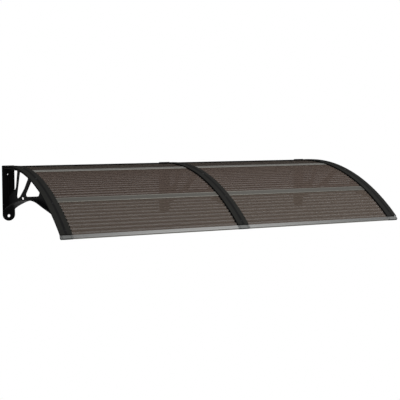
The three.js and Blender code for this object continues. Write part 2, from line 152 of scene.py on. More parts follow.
def roughen(
    tree: bpy.types.NodeTree, grain: bpy.types.NodeSocket, roughness: float, spread: float,
    strength: float, depth: float,
) -> None:
    """Lets a grain move the shader's gloss and raise its surface.

    Args:
        tree: The material's node tree.
        grain: The grain's output.
        roughness: Middle roughness.
        spread: How far the grain moves the roughness.
        strength: Strength of the relief.
        depth: Depth of the relief, in millimetres.
    """
    gloss = add_node(tree, "ShaderNodeMapRange", inputs={
        "Value": grain, "From Min": LOW_NOISE, "From Max": HIGH_NOISE,
        "To Min": roughness - spread, "To Max": roughness + spread,
    })
    bump = add_node(
        tree, "ShaderNodeBump", inputs={"Strength": strength, "Distance": depth * MM, "Height": grain},
    )
    shader = tree.nodes["Principled BSDF"]
    tree.links.new(gloss.outputs["Result"], shader.inputs["Roughness"])
    tree.links.new(bump.outputs["Normal"], shader.inputs["Normal"])


class Slot(Enum):
    """The material slots of the record."""

    BLACK_ABS = "black_abs"
    SHEET = "smoked_polycarbonate"
    COVER = "dark_cover"
    ALUMINIUM = "mill_aluminium"
    GREY_PLASTIC = "grey_plastic"
    RUBBER = "black_rubber"
    SCREW = "black_steel"
    PROFILE = "black_profile"


# finishes


@dataclass(frozen=True)
class Finish:
    """A plastic, metal or rubber surface with a fine grain.

    The colours are sRGB hex colours. The grain's size and relief are in millimetres, and stretch
    draws it out along each axis. A larger noise, with drift times as many grains, mixes the shade
    into the colour.
    """

    name: str
    colour: str
    shade: str
    roughness: float
    roughness_spread: float
    metallic: float = 0.0
    specular: float = 0.5
    grain: float = 1.2
    stretch: tuple[float, float, float] = (1.0, 1.0, 1.0)
    relief: float = 0.01
    relief_strength: float = 0.6
    drift: float = 0.06

    def make(self) -> bpy.types.Material:
        """Builds the material: noise in the piece's own coordinates moves colour, gloss and relief.

        Returns:
            The material.
        """
        material, tree, shader = new_material(self.name)
        shader.inputs["Metallic"].default_value = self.metallic
        shader.inputs["Specular IOR Level"].default_value = self.specular
        grains_per_metre = 1 / (self.grain * MM)
        grain = noise(tree, grains_per_metre, self.stretch)
        drift = noise(tree, self.drift * grains_per_metre, self.stretch, detail=2.0)
        tint = add_node(
            tree, "ShaderNodeMix", {"data_type": "RGBA"},
            {"Factor": drift, "A": linear(self.colour), "B": linear(self.shade)},
        )
        tree.links.new(tint.outputs["Result"], shader.inputs["Base Color"])
        roughen(
            tree, grain, self.roughness, self.roughness_spread, self.relief_strength, self.relief,
        )
        return material


@dataclass(frozen=True)
class SmokedPolycarbonate:
    """Extruded twin-wall polycarbonate, tinted bronze in the melt.

    The ribs between the two skins show from outside as fine darker lines: partly because the tint is
    thickest there, and partly as painted shade along the sunk line over each rib, drawn wider than the
    rib. The cells let a little of what lies behind come through. Opacity is what one skin stops of the
    light over a cell, and pitch the distance between ribs. The line over a rib is full within its core
    on either side and has faded out at line. Fine streaks run the way the sheet was drawn, streak wide
    and streak_length times as long. Lengths are in millimetres.
    """

    name: str
    cell: str
    rib: str
    opacity: float = 0.52
    refraction: float = 1.58
    roughness: float = 0.42
    roughness_spread: float = 0.06
    pitch: float = RIB_PITCH
    line: float = 8.0
    line_core: float = 1.6
    streak: float = 10 / 3
    streak_length: float = 50.0
    relief: float = 0.03
    relief_strength: float = 0.5

    def make(self) -> bpy.types.Material:
        """Builds the material: the piece's UV map counts the ribs, starting from its closed edge.

        The way from the nearest rib is the map's second value folded up and down over half a pitch.

        Returns:
            The material.
        """
        material, tree, shader = new_material(self.name)
        shader.inputs["IOR"].default_value = self.refraction
        shader.inputs["Specular IOR Level"].default_value = 0.0
        uv = add_node(tree, "ShaderNodeUVMap", {"uv_map": "unrolled"})
        parts = add_node(tree, "ShaderNodeSeparateXYZ", inputs={0: uv.outputs["UV"]})
        from_rib = add_node(
            tree, "ShaderNodeMath", {"operation": "PINGPONG"},
            {0: parts.outputs["Y"], 1: self.pitch * MM / 2},
        )
        over_cell = add_node(
            tree, "ShaderNodeMapRange", {"interpolation_type": "SMOOTHSTEP"},
            {"Value": from_rib.outputs[0], "From Min": self.line_core * MM, "From Max": self.line * MM},
        ).outputs["Result"]
        # Painted shade: the rib colour spreads over a line wider than the rib.
        colour = add_node(
            tree, "ShaderNodeMix", {"data_type": "RGBA"},
            {"Factor": over_cell, "A": linear(self.rib), "B": linear(self.cell)},
        )
        alpha = add_node(
            tree, "ShaderNodeMapRange", inputs={"Value": over_cell, "To Min": 1.0, "To Max": self.opacity},
        )
        tree.links.new(colour.outputs["Result"], shader.inputs["Base Color"])
        tree.links.new(alpha.outputs["Result"], shader.inputs["Alpha"])
        streaks = noise(tree, 1 / (self.streak * MM), (self.streak_length, 1.0, 1.0))
        roughen(
            tree, streaks, self.roughness, self.roughness_spread, self.relief_strength, self.relief,
        )
        return material


# Painted light and shade: the three sheets are one material in three tones. The rear is darkest, as if in
# the wall's shade, the middle palest, and the front has the palest ribs.
SHEET_FINISHES_WITH_PAINTED_SHADING = {
    "rear": SmokedPolycarbonate("smoked_polycarbonate_painted_shading_rear", "4F4943", "35302D"),
    "middle": SmokedPolycarbonate("smoked_polycarbonate_painted_shading_middle", "625750", "3F3530"),
    "front": SmokedPolycarbonate("smoked_polycarbonate_painted_shading_front", "5B5149", "514943"),
}
# Injection-moulded ABS from a spark-eroded tool: a fine, even leather-like grain that stays dark.
# The grain is about 0.3 mm on the real part and is drawn at 1.2 mm, so that it can show.
MOULDED_ABS = Finish(
    "moulded_black_abs", "151516", "1A1A1B", 0.38, 0.06, specular=0.002, relief=0.03,
)
# Extruded PVC against the wall: satin, with die lines along the wall.
EXTRUDED_PVC = Finish(
    "extruded_black_pvc", "0D0D0D", "121212", 0.5, 0.05, specular=0.0,
    stretch=(40.0, 1.0, 1.0), relief=0.02,
)
# Extruded aluminium straight from the press: soft grey, with die lines along the bar. On the front rails
# it also covers the faces that do not look up, as painted shade.
MILL_ALUMINIUM_AND_RAIL_SHADE = Finish(
    "mill_aluminium_and_painted_rail_shade", "66645E", "5D5B56", 0.4, 0.06, metallic=1.0,
    grain=0.8, stretch=(60.0, 1.0, 1.0), relief=0.02,
)
# The same bar between its raised beads, duller and a shade darker: painted shade in the recess between the
# beads.
JOINT_PAINTED_RECESS_SHADE = Finish(
    "mill_aluminium_painted_recess_shade", "52504B", "4A4844", 0.55, 0.06, metallic=1.0,
    grain=0.8, stretch=(60.0, 1.0, 1.0), relief=0.02,
)
# Satin aluminium, lighter than the mill finish: painted light on the front rails' upward faces.
RAIL_TOP_PAINTED_LIGHT = Finish(
    "satin_aluminium_painted_light", "656564", "5E5E5D", 0.36, 0.05, metallic=1.0,
    grain=0.6, stretch=(60.0, 1.0, 1.0), relief=0.015,
)
# Extruded strip with a dark stoved paint: satin, a little orange peel.
PAINTED_COVER = Finish(
    "stoved_dark_grey_paint", "272726", "2C2C2A", 0.5, 0.05, specular=0.0,
    grain=2.2, relief=0.02,
)
# Matt black on the same strip: along the flat crown, and down the sides as painted shade.
CROWN_BLACK_AND_SIDE_SHADE = Finish(
    "matt_black_crown_and_painted_side_shade", "1D1D1D", "222222", 0.7, 0.05, specular=0.0, grain=1.6, relief=0.02,
)
# Moulded caps painted like the rails, in the tone of their lit upper faces.
PAINTED_CAP = Finish(
    "painted_grey_abs", "6C6D6C", "636463", 0.5, 0.05, specular=0.12,
    grain=1.0, relief=0.015,
)
# Painted shade on the same caps: in the grooves and on the front.
CAP_PAINTED_SHADE = Finish(
    "grey_abs_painted_shade", "515251", "494A49", 0.6, 0.05, specular=0.05,
    grain=1.0, relief=0.015,
)
# EPDM rubber: matt black with a dusty bloom.
EPDM_RUBBER = Finish(
    "epdm_rubber", "0A0A0A", "101010", 0.78, 0.06, specular=0.0, grain=1.5, relief=0.02,
)
# Steel screws with black zinc: dark and half shiny.
BLACK_ZINC = Finish(
    "black_zinc_steel", "171719", "101012", 0.45, 0.08, metallic=0.9, grain=0.6, relief=0.01,
)


# surfaces


@dataclass(frozen=True)
class RoofArch:
    """The cylinder that the sheets' upper faces lie on, and the flat drawing laid over it.

    In the flat drawing a point has a distance along the arch from the wall, a height up from the
    sheets' upper face, and an x along the wall. The crest's depth is counted out from the wall, and
    the length runs along the arch to the front of the rail.
    """

    radius: float = 1268.0
    crest_depth: float = 164.0
    centre_z: float = -1116.0
    length: float = 1058.0
    plate_top: float = 156.0

    def angle(self, along: np.ndarray | float) -> np.ndarray | float:
        """Slope of the roof: the distance along over the radius, less the angle at the wall."""
        return along / self.radius - math.asin(self.crest_depth / self.radius)

    def place(
        self, along: np.ndarray | float, up: np.ndarray | float, x: np.ndarray | float,
    ) -> np.ndarray:
        """Lays points over the arch: the angle grows with the distance along, the radius with up.

        Args:
            along: Distances along the arch.
            up: Heights over the sheets' upper face.
            x: Places along the wall.

        Returns:
            The points, with x, y and z on the last axis.
        """
        angle = self.angle(np.asarray(along, float))
        radius = self.radius + np.asarray(up, float)
        out = self.crest_depth + radius * np.sin(angle)
        height = self.centre_z + radius * np.cos(angle)
        return np.stack(np.broadcast_arrays(np.asarray(x, float), -out, height), axis=-1)

    def unroll(self, points: np.ndarray) -> np.ndarray:
        """The distance along the arch of each point: its angle about the axis times the radius."""
        angle = np.arctan2(-points[:, 1] - self.crest_depth, points[:, 2] - self.centre_z)
        return self.radius * (angle + math.asin(self.crest_depth / self.radius))

    def drop_below(self, out: np.ndarray | float, up: float) -> np.ndarray | float:
        """How far down from the plate's top a curve at height up lies, at a distance out."""
        height = np.sqrt((self.radius + up) ** 2 - (out - self.crest_depth) ** 2)
        return self.plate_top - (self.centre_z + height)


ARCH = RoofArch()


@dataclass
class Shell:
    """One closed surface: rows of x, y and z in millimetres, and faces as lists of point numbers."""

    points: np.ndarray
    faces: list[list[int]]

    @staticmethod
    def joined(shells: Sequence["Shell"]) -> "Shell":
        """Makes one list of points and faces of several shells.

        Args:
            shells: The shells to join.

        Returns:
            One shell with all their points and faces.
        """
        starts = np.cumsum([0] + [len(shell.points) for shell in shells[:-1]])
        faces = [
            [number + int(start) for number in face]
            for start, shell in zip(starts, shells) for face in shell.faces
        ]
        return Shell(np.concatenate([shell.points for shell in shells]), faces)

    def moved(self, x: float) -> "Shell":
        """The same shell further along the wall."""
        return Shell(self.points + np.array([x, 0.0, 0.0]), self.faces)


def rounded(corners: np.ndarray, radius: np.ndarray | float, steps: int = 4) -> np.ndarray:
    """Rounds the corners of a closed outline.

    Each corner gives way to a parabola from a point a radius before it to one a radius after it,
    with the corner itself as the handle. No corner takes more than 0.45 of a side.

    Args:
        corners: The outline's corners, one row each.
        radius: How far the rounding reaches, for all corners or one each.
        steps: Straight steps in a corner.

    Returns:
        The outline with its corners rounded.
    """
    before = np.roll(corners, 1, axis=0) - corners
    after = np.roll(corners, -1, axis=0) - corners
    before_length = np.linalg.norm(before, axis=1)
    after_length = np.linalg.norm(after, axis=1)
    reach = np.minimum(radius, 0.45 * np.minimum(before_length, after_length))
    start = corners + before * (reach / before_length)[:, None]
    end = corners + after * (reach / after_length)[:, None]
    t = np.linspace(0, 1, steps + 1)[None, :, None]
    curve = (1 - t) ** 2 * start[:, None] + 2 * t * (1 - t) * corners[:, None] + t**2 * end[:, None]
    return curve.reshape(-1, 2)


def counterclockwise(loop: np.ndarray) -> np.ndarray:
    """Turns a loop round if its area by the shoelace formula is negative.

    Args:
        loop: Points in order.

    Returns:
        The loop, running counterclockwise.
    """
    after = np.roll(loop, -1, axis=0)
    area = np.sum(loop[:, 0] * after[:, 1] - after[:, 0] * loop[:, 1])
    return loop if area > 0 else loop[::-1]


def inset(loop: np.ndarray, distance: float) -> np.ndarray:
    """Moves a loop sideways to its left.

    Each point goes along the mean of its two sides' left normals, as far as the mitre needs.

    Args:
        loop: Points in order.
        distance: How far each side moves.

    Returns:
        The moved points.
    """
    side = np.roll(loop, -1, axis=0) - loop
    normal = np.stack([-side[:, 1], side[:, 0]], axis=1)
    normal /= np.linalg.norm(normal, axis=1, keepdims=True)
    both = normal + np.roll(normal, 1, axis=0)
    mitre = both * (2 / np.sum(both**2, axis=1))[:, None]
    return loop + mitre * distance


def band(index: np.ndarray) -> list[list[int]]:
    """Joins each point to its neighbours, in a grid whose rows are closed rings.

    Args:
        index: The number of each point, one row for each ring.

    Returns:
        Quads, as lists of point numbers.
    """
    beside = np.roll(index, -1, axis=1)
    quads = np.stack([index[:-1], beside[:-1], beside[1:], index[1:]], axis=-1)
    return quads.reshape(-1, 4).tolist()


def mirrored(right: np.ndarray) -> np.ndarray:
    """A closed outline: its right half, and the same half turned over and run backwards."""
    return np.concatenate([right, right[::-1] * np.array([-1.0, 1.0])])


def swept(rings: np.ndarray) -> Shell:
    """Runs a closed tube through rings of points.

    Args:
        rings: Points, numbered by ring, place in the ring, and x, y and z.

    Returns:
        The tube, with both ends closed.
    """
    index = np.arange(rings.shape[0] * rings.shape[1]).reshape(rings.shape[:2])
    ends = [index[0][::-1].tolist(), index[-1].tolist()]
    return Shell(rings.reshape(-1, 3), band(index) + ends)


def along_roof(section: np.ndarray, start: float, end: float, x: float, step: float = 12.0) -> Shell:
    """A section drawn as x and up, run along the arch.

    Args:
        section: The section's outline.
        start: Where it begins along the arch.
        end: Where it ends.
        x: Middle of the section along the wall.
        step: Longest step along the arch.

    Returns:
        The closed run.
    """
    stations = np.linspace(start, end, math.ceil((end - start) / step) + 1)
    return swept(ARCH.place(stations[:, None], section[None, :, 1], x + section[None, :, 0]))


def across_roof(section: np.ndarray, stations: np.ndarray) -> Shell:
    """A section drawn as along and up, laid on the arch and run along the wall."""
    return swept(ARCH.place(section[None, :, 0], section[None, :, 1], stations[:, None]))


def turned(profile: np.ndarray, segments: int = 40) -> Shell:
    """Turns a profile of radius and height about the upright axis.

    The first and last points lie on the axis and become one point each.

    Args:
        profile: Radius and height of each point, from one pole to the other.
        segments: Sides of the round.

    Returns:
        The closed round, upright at the origin.
    """
    turn = np.linspace(0, 2 * math.pi, segments, endpoint=False)
    radius, height = profile[1:-1, 0], profile[1:-1, 1]
    rings = np.stack([
        radius[:, None] * np.cos(turn), radius[:, None] * np.sin(turn),
        np.broadcast_to(height[:, None], (len(height), segments)),
    ], axis=-1)
    first = len(height) * segments
    index = np.arange(first).reshape(-1, segments)
    beside = np.roll(index, -1, axis=1)
    fans = [[first, int(b), int(a)] for a, b in zip(index[0], beside[0])]
    fans += [[first + 1, int(a), int(b)] for a, b in zip(index[-1], beside[-1])]
    poles = np.array([[0, 0, profile[0, 1]], [0, 0, profile[-1, 1]]])
    return Shell(np.concatenate([rings.reshape(-1, 3), poles]), band(index) + fans)


def slab(
    outline: np.ndarray,
    holes: Sequence[np.ndarray],
    thickness: float,
    edge: float,
    place: Callable[[np.ndarray, np.ndarray], np.ndarray],
    steps: int = 3,
) -> Shell:
    """A flat plate with holes and rounded edges.

    Round each loop the wall is a grid: from one face it follows a quarter circle out to the loop,
    goes straight through, and follows another quarter circle back to the other face. The faces are
    filled between the loops' inner ends.

    Args:
        outline: The plate's outline in its plane.
        holes: The holes' outlines.
        thickness: Of the plate.
        edge: Radius of the rounded edges.
        place: Turns plane points and depths into points in space.
        steps: Straight steps in a quarter circle.

    Returns:
        The closed plate.
    """
    loops = [counterclockwise(outline)] + [counterclockwise(hole)[::-1] for hole in holes]
    quarter = np.linspace(0, math.pi / 2, steps + 1)
    inward = np.concatenate([edge * (1 - np.sin(quarter)), edge * (1 - np.sin(quarter[::-1]))])
    depth = np.concatenate([
        edge * (1 - np.cos(quarter)), thickness - edge * (1 - np.cos(quarter[::-1])),
    ])
    points: list[np.ndarray] = []
    faces: list[list[int]] = []
    first_rows, last_rows, face_loops = [], [], []
    start = 0
    for loop in loops:
        rows = np.stack([inset(loop, distance) for distance in inward])
        index = start + np.arange(rows.shape[0] * rows.shape[1]).reshape(rows.shape[:2])
        faces += band(index)
        points.append(place(rows, np.broadcast_to(depth[:, None], rows.shape[:2])).reshape(-1, 3))
        first_rows.append(index[0])
        last_rows.append(index[-1])
        face_loops.append([(float(a), float(b), 0.0) for a, b in rows[0]])
        start += index.size
    triangles = np.array(tessellate_polygon(face_loops))
    faces += np.concatenate(first_rows)[triangles].tolist()
    faces += np.concatenate(last_rows)[triangles].tolist()
    return Shell(np.concatenate(points), faces)


# meshes


def outward_mesh(name: str, shell: Shell) -> bpy.types.Mesh:
    """Makes a mesh in metres from a shell, with every face turned outwards.

    Args:
        name: Name of the mesh.
        shell: The closed surface, in millimetres.

    Returns:
        The new mesh.
    """
    mesh = bpy.data.meshes.new(name)
    mesh.from_pydata((shell.points * MM).tolist(), [], shell.faces)
    made = bmesh.new()
    made.from_mesh(mesh)
    bmesh.ops.recalc_face_normals(made, faces=made.faces)
    made.to_mesh(mesh)
    made.free()
    return mesh


def combined(base: Shell, others: Iterable[Shell], operation: str, name: str) -> bpy.types.Mesh:
    """Joins other solids to a solid, or cuts them out of it.

    Args:
        base: The solid to start from.
        others: The solids joined to it or cut out of it, one after another.
        operation: UNION or DIFFERENCE.
        name: Name of the mesh.

    Returns:
        The finished mesh.
    """
    body = bpy.data.objects.new(name, outward_mesh(name, base))
    bpy.context.scene.collection.objects.link(body)
    tools = []
    for other in others:
        tool = bpy.data.objects.new(f"{name}_tool", outward_mesh(f"{name}_tool", other))
        bpy.context.scene.collection.objects.link(tool)
        modifier = body.modifiers.new("combine", "BOOLEAN")
        modifier.operation = operation
        modifier.solver = "EXACT"
        modifier.object = tool
        tools.append(tool)
    bpy.context.view_layer.update()
    evaluated = body.evaluated_get(bpy.context.evaluated_depsgraph_get())
    mesh = bpy.data.meshes.new_from_object(evaluated)
    mesh.name = name
    for done in [body, *tools]:
        bpy.data.objects.remove(done)
    return mesh


def per_face(mesh: bpy.types.Mesh, what: str) -> np.ndarray:
    """Reads the faces' middles or normals.

    Args:
        mesh: The mesh.
        what: center or normal, the names of a face's own properties.

    Returns:
        Rows of x, y and z, one for each face.
    """
    values = np.empty(len(mesh.polygons) * 3)
    mesh.polygons.foreach_get(what, values)
    return values.reshape(-1, 3)


def faces_upward(mesh: bpy.types.Mesh) -> np.ndarray:
    """Finds the faces that look away from the arch's axis.

    A face does where its normal and the way straight out from the axis to its middle lie less than
    the steepest upward angle apart.

    Args:
        mesh: The mesh, in metres.

    Returns:
        A flag for each face.
    """
    axis = np.array([0.0, -ARCH.crest_depth, ARCH.centre_z]) * MM
    out = (per_face(mesh, "center") - axis) * np.array([0.0, 1.0, 1.0])
    out /= np.linalg.norm(out, axis=1, keepdims=True)
    return np.sum(out * per_face(mesh, "normal"), axis=1) > math.cos(STEEPEST_UPWARD)


def moved_copy(mesh: bpy.types.Mesh, x: float) -> bpy.types.Mesh:
    """Copies a mesh to another place along the wall.

    Args:
        mesh: The mesh, in metres.
        x: How far the copy is moved, in millimetres.

    Returns:
        The copy.
    """
    copy = mesh.copy()
    points = np.empty(len(copy.vertices) * 3)
    copy.vertices.foreach_get("co", points)
    points = points.reshape(-1, 3) + np.array([x * MM, 0.0, 0.0])
    copy.vertices.foreach_set("co", points.ravel())
    copy.update()
    return copy


class Finishes:
    """Makes each finish's material once and hands it to the pieces."""

    def __init__(self) -> None:
        """Starts with no material made."""
        self.made: dict[str, bpy.types.Material] = {}

    def get(self, finish: Finish | SmokedPolycarbonate) -> bpy.types.Material:
        """Hands out a finish's material, made the first time it is asked for.

        Args:
            finish: The finish.

        Returns:
            Its material.
        """
        if finish.name not in self.made:
            self.made[finish.name] = finish.make()
        return self.made[finish.name]


@dataclass
class Assembly:
    """Turns meshes into finished pieces of the canopy, which share their materials."""

    finishes: Finishes = field(default_factory=Finishes)

    def add(
        self,
        name: str,
        shape: Shell | bpy.types.Mesh,
        finish: Finish | SmokedPolycarbonate,
        slot: Slot,
        edge: float = 0.0,
        rib_start: float = 0.0,
        inlay: tuple[Finish, np.ndarray] | None = None,
    ) -> None:
        """Adds one piece in the place of its CAD node.

        The UV map holds x and the distance along the arch, in metres, so that a pattern can follow
        the roof.

        Args:
            name: The CAD node that the piece stands for.
            shape: Its closed surface, or a mesh made from one.
            finish: Its finish.
            slot: The record's slot. It is not used.
            edge: Rounding of sharp edges, in millimetres.
            rib_start: Where the UV map starts to count along the arch, in millimetres.
            inlay: A second finish, and a flag for each face that takes it.
        """
        mesh = outward_mesh(name, shape) if isinstance(shape, Shell) else shape
        mesh.name = f"{name}_surface"
        points = np.empty(len(mesh.vertices) * 3)
        mesh.vertices.foreach_get("co", points)
        points = points.reshape(-1, 3) / MM
        unrolled = np.stack([points[:, 0], ARCH.unroll(points) - rib_start], axis=1) * MM
        corners = np.empty(len(mesh.loops), dtype=np.int64)
        mesh.loops.foreach_get("vertex_index", corners)
        uv = mesh.uv_layers.get("unrolled") or mesh.uv_layers.new(name="unrolled")
        uv.data.foreach_set("uv", unrolled[corners].ravel())
        mesh.shade_smooth()
        mesh.set_sharp_from_angle(angle=SHARPEST_SMOOTH)
        mesh.materials.clear()
        mesh.materials.append(self.finishes.get(finish))
        if inlay:
            mesh.materials.append(self.finishes.get(inlay[0]))
            mesh.polygons.foreach_set("material_index", inlay[1].astype(np.int32))
        piece = bpy.data.objects.new(f"{name}_look", mesh)
        bpy.context.scene.collection.objects.link(piece)
        if edge:
            bevel = piece.modifiers.new("rounded_edges", "BEVEL")
            bevel.width = edge * MM
            bevel.segments = 2
            bevel.limit_method = "ANGLE"
            bevel.angle_limit = SHARPEST_UNROUNDED
        weighted = piece.modifiers.new("even_shading", "WEIGHTED_NORMAL")
        weighted.keep_sharp = True
        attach(piece, BODY)
        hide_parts(name)
        LOG.info("%s: %d points, %s", name, len(mesh.vertices), finish.name)


# the canopy's pieces


@dataclass(frozen=True)
class Sizes:
    """Sizes that several pieces share, in millimetres.

    Joints and screws are placed by their distance along the arch, and heights count up from the
    sheets' upper face.
    """

    pitch: float = 968.0
    clearance: float = 0.3
    rounding: float = 0.3
    sheet_thickness: float = 4.5
    plate_width: float = 71.0
    cap_width: float = 64.0
    end_gap: float = 1.0
    arm_width: float = 50.0
    arm_thickness: float = 4.5
    rail_nose: float = 2.0
    rail_upper: float = 22.0
    rear_joint: float = 354.0
    front_joint: float = 764.0
    cover_crown: float = 8.6
    screws_at: tuple[float, ...] = (60.0, 285.0, 520.0, 800.0, 1010.0)

    @property
    def sheet_under(self) -> float:
        """Height of whatever touches the sheets from below."""
        return -self.sheet_thickness - self.clearance

    @property
    def arm_bottom(self) -> float:
        """Height of the arm's underside."""
        return self.sheet_under - self.arm_thickness

    def channel(self, flange: float) -> tuple[float, float, float, float]:
        """Heights of a channel round the sheets: under and over its lid, over and under its floor."""
        low, under = self.clearance, self.sheet_under
        return low, low + flange, under, under - flange

    def bracket_x(self, side: str) -> float:
        """Middle of the named bracket along the wall."""
        return {"left": -self.pitch, "centre": 0.0, "right": self.pitch}[side]

    def bay_run(self, bay: str, between_width: float) -> np.ndarray:
        """Finds where a profile of a bay begins and ends between two things at its brackets.

        Args:
            bay: left or right.
            between_width: Width of the things at the brackets.

        Returns:
            The two ends along the wall.
        """
        start = -self.pitch if bay == "left" else 0.0
        from_bracket = between_width / 2 + self.end_gap
        return np.array([start + from_bracket, start + self.pitch - from_bracket])


SIZES = Sizes()
SIDES = ("left", "centre", "right")
BAYS = ("left", "right")


@dataclass(frozen=True)
class TwinWallSheets:
    """The six sheets: two skins with ribs between them, the ribs running along the wall.

    Over a rib the skins sink a little, where the thicker plastic shrinks most. Slack is the way from
    a sheet's edge to the middle of a joint profile, and an open half cell shorter than the shortest
    stub is left out.
    """

    skin: float = 0.6
    rib: float = 0.8
    pitch: float = RIB_PITCH
    sink: float = 0.45
    sink_width: float = 2.6
    rear: float = 8.0
    front: float = 1049.0
    side_gap: float = 6.0
    slack: float = 1.6
    shortest_stub: float = 4.0
    cell_steps: int = 12
    stub_steps: int = 5

    def stations(self, length: float) -> tuple[np.ndarray, np.ndarray]:
        """Places along a sheet, from its closed edge, and which steps between them are ribs.

        Args:
            length: Of the sheet along the arch.

        Returns:
            The distances, and a flag for each step that is a rib.
        """
        cells = int((length - self.shortest_stub) // self.pitch)
        across = np.concatenate([[0.0], np.linspace(self.rib, self.pitch, self.cell_steps + 1)[:-1]])
        starts = np.arange(cells)[:, None] * self.pitch
        stub_start = cells * self.pitch
        stub = np.linspace(stub_start + self.rib, length, self.stub_steps + 1)
        distances = np.concatenate([(starts + across).ravel(), [stub_start], stub])
        middles = (distances[1:] + distances[:-1]) / 2
        return distances, np.mod(middles, self.pitch) < self.rib

    def edges(self) -> dict[str, tuple[float, float]]:
        """Says where each sheet lies along the arch.

        Returns:
            Its closed edge, where its first rib stands, and its open edge, by its place.
        """
        return {
            "rear": (SIZES.rear_joint - self.slack, self.rear),
            "middle": (SIZES.front_joint - self.slack, SIZES.rear_joint + self.slack),
            "front": (SIZES.front_joint + self.slack, self.front),
        }

    def ribs_clear_of(self, half_bar: float) -> np.ndarray:
        """Finds the ribs that lie clear of the joint profiles and the rail.

        Args:
            half_bar: How near a rib may come to the middle of a bar.

        Returns:
            Their distances along the arch.
        """
        runs = []
        for closed, open_edge in self.edges().values():
            way = math.copysign(1, open_edge - closed)
            runs.append(closed + way * np.arange(self.rib / 2, abs(open_edge - closed), self.pitch))
        ribs = np.concatenate(runs)
        for bar in (SIZES.rear_joint, SIZES.front_joint, ARCH.length):
            ribs = ribs[abs(ribs - bar) > half_bar]
        return ribs

    def shell(self, closed: float, open_edge: float, x: np.ndarray) -> Shell:
        """One sheet as a closed surface with open cells.

        The upper skin lies at the height minus sink times the bell curve of the distance from the
        nearest rib, the lower skin mirrors it, and each skin is one thickness deep.

        Args:
            closed: Edge along the arch where the first rib stands.
            open_edge: The other edge.
            x: The two ends along the wall.

        Returns:
            The sheet.
        """
        distances, ribs = self.stations(abs(open_edge - closed))
        along = closed + math.copysign(1, open_edge - closed) * distances
        phase = np.mod(distances - self.rib / 2 + self.pitch / 2, self.pitch) - self.pitch / 2
        dip = self.sink * np.exp(-((phase / self.sink_width) ** 2))
        bottom = -SIZES.sheet_thickness
        levels = np.stack([-dip, -dip - self.skin, bottom + dip + self.skin, bottom + dip])
        points = ARCH.place(along[None, None], levels[None], x[:, None, None])
        count = len(along)
        index = np.arange(2 * 4 * count).reshape(2, 4, count)

        def between(first: np.ndarray, second: np.ndarray, steps: np.ndarray) -> np.ndarray:
            """Quads between two rows of points, at the given steps along them."""
            return np.stack([first[steps], first[steps + 1], second[steps + 1], second[steps]], axis=-1)

        def wall(level: int, places: np.ndarray) -> np.ndarray:
            """Quads from a level down to the next one that run the length of the sheet."""
            upper, lower = index[:, level, places], index[:, level + 1, places]
            return np.stack([upper[0], upper[1], lower[1], lower[0]], axis=-1)

        every = np.arange(count - 1)
        solid, hollow = np.flatnonzero(ribs), np.flatnonzero(~ribs)
        changes = np.flatnonzero(ribs[1:] != ribs[:-1]) + 1
        edges, closed_edge = np.array([0, count - 1]), np.array([0])
        skins = ((0, every), (3, every), (1, hollow), (2, hollow))
        ends = ((0, every), (2, every), (1, solid))
        quads = [between(index[0, level], index[1, level], steps) for level, steps in skins]
        quads += [between(row[level], row[level + 1], steps) for row in index for level, steps in ends]
        quads += [wall(0, edges), wall(2, edges), wall(1, closed_edge), wall(1, changes)]
        return Shell(points.reshape(-1, 3), np.concatenate(quads).tolist())

    def build(self, assembly: Assembly) -> None:
        """Makes the three sheets of each bay.

        Args:
            assembly: Takes the pieces.
        """
        outer = SIZES.pitch + SIZES.arm_width / 2
        runs = {"left": np.array([-outer, -self.side_gap / 2])}
        runs["right"] = -runs["left"][::-1]
        for bay in BAYS:
            for place, (closed, open_edge) in self.edges().items():
                name = f"sheet_{bay}_{place}"
                shell = self.shell(closed, open_edge, runs[bay])
                rib_middle = closed + math.copysign(self.rib / 2, open_edge - closed)
                # Each sheet takes its own tone of painted light and shade.
                assembly.add(name, shell, SHEET_FINISHES_WITH_PAINTED_SHADING[place], Slot.SHEET, rib_start=rib_middle)


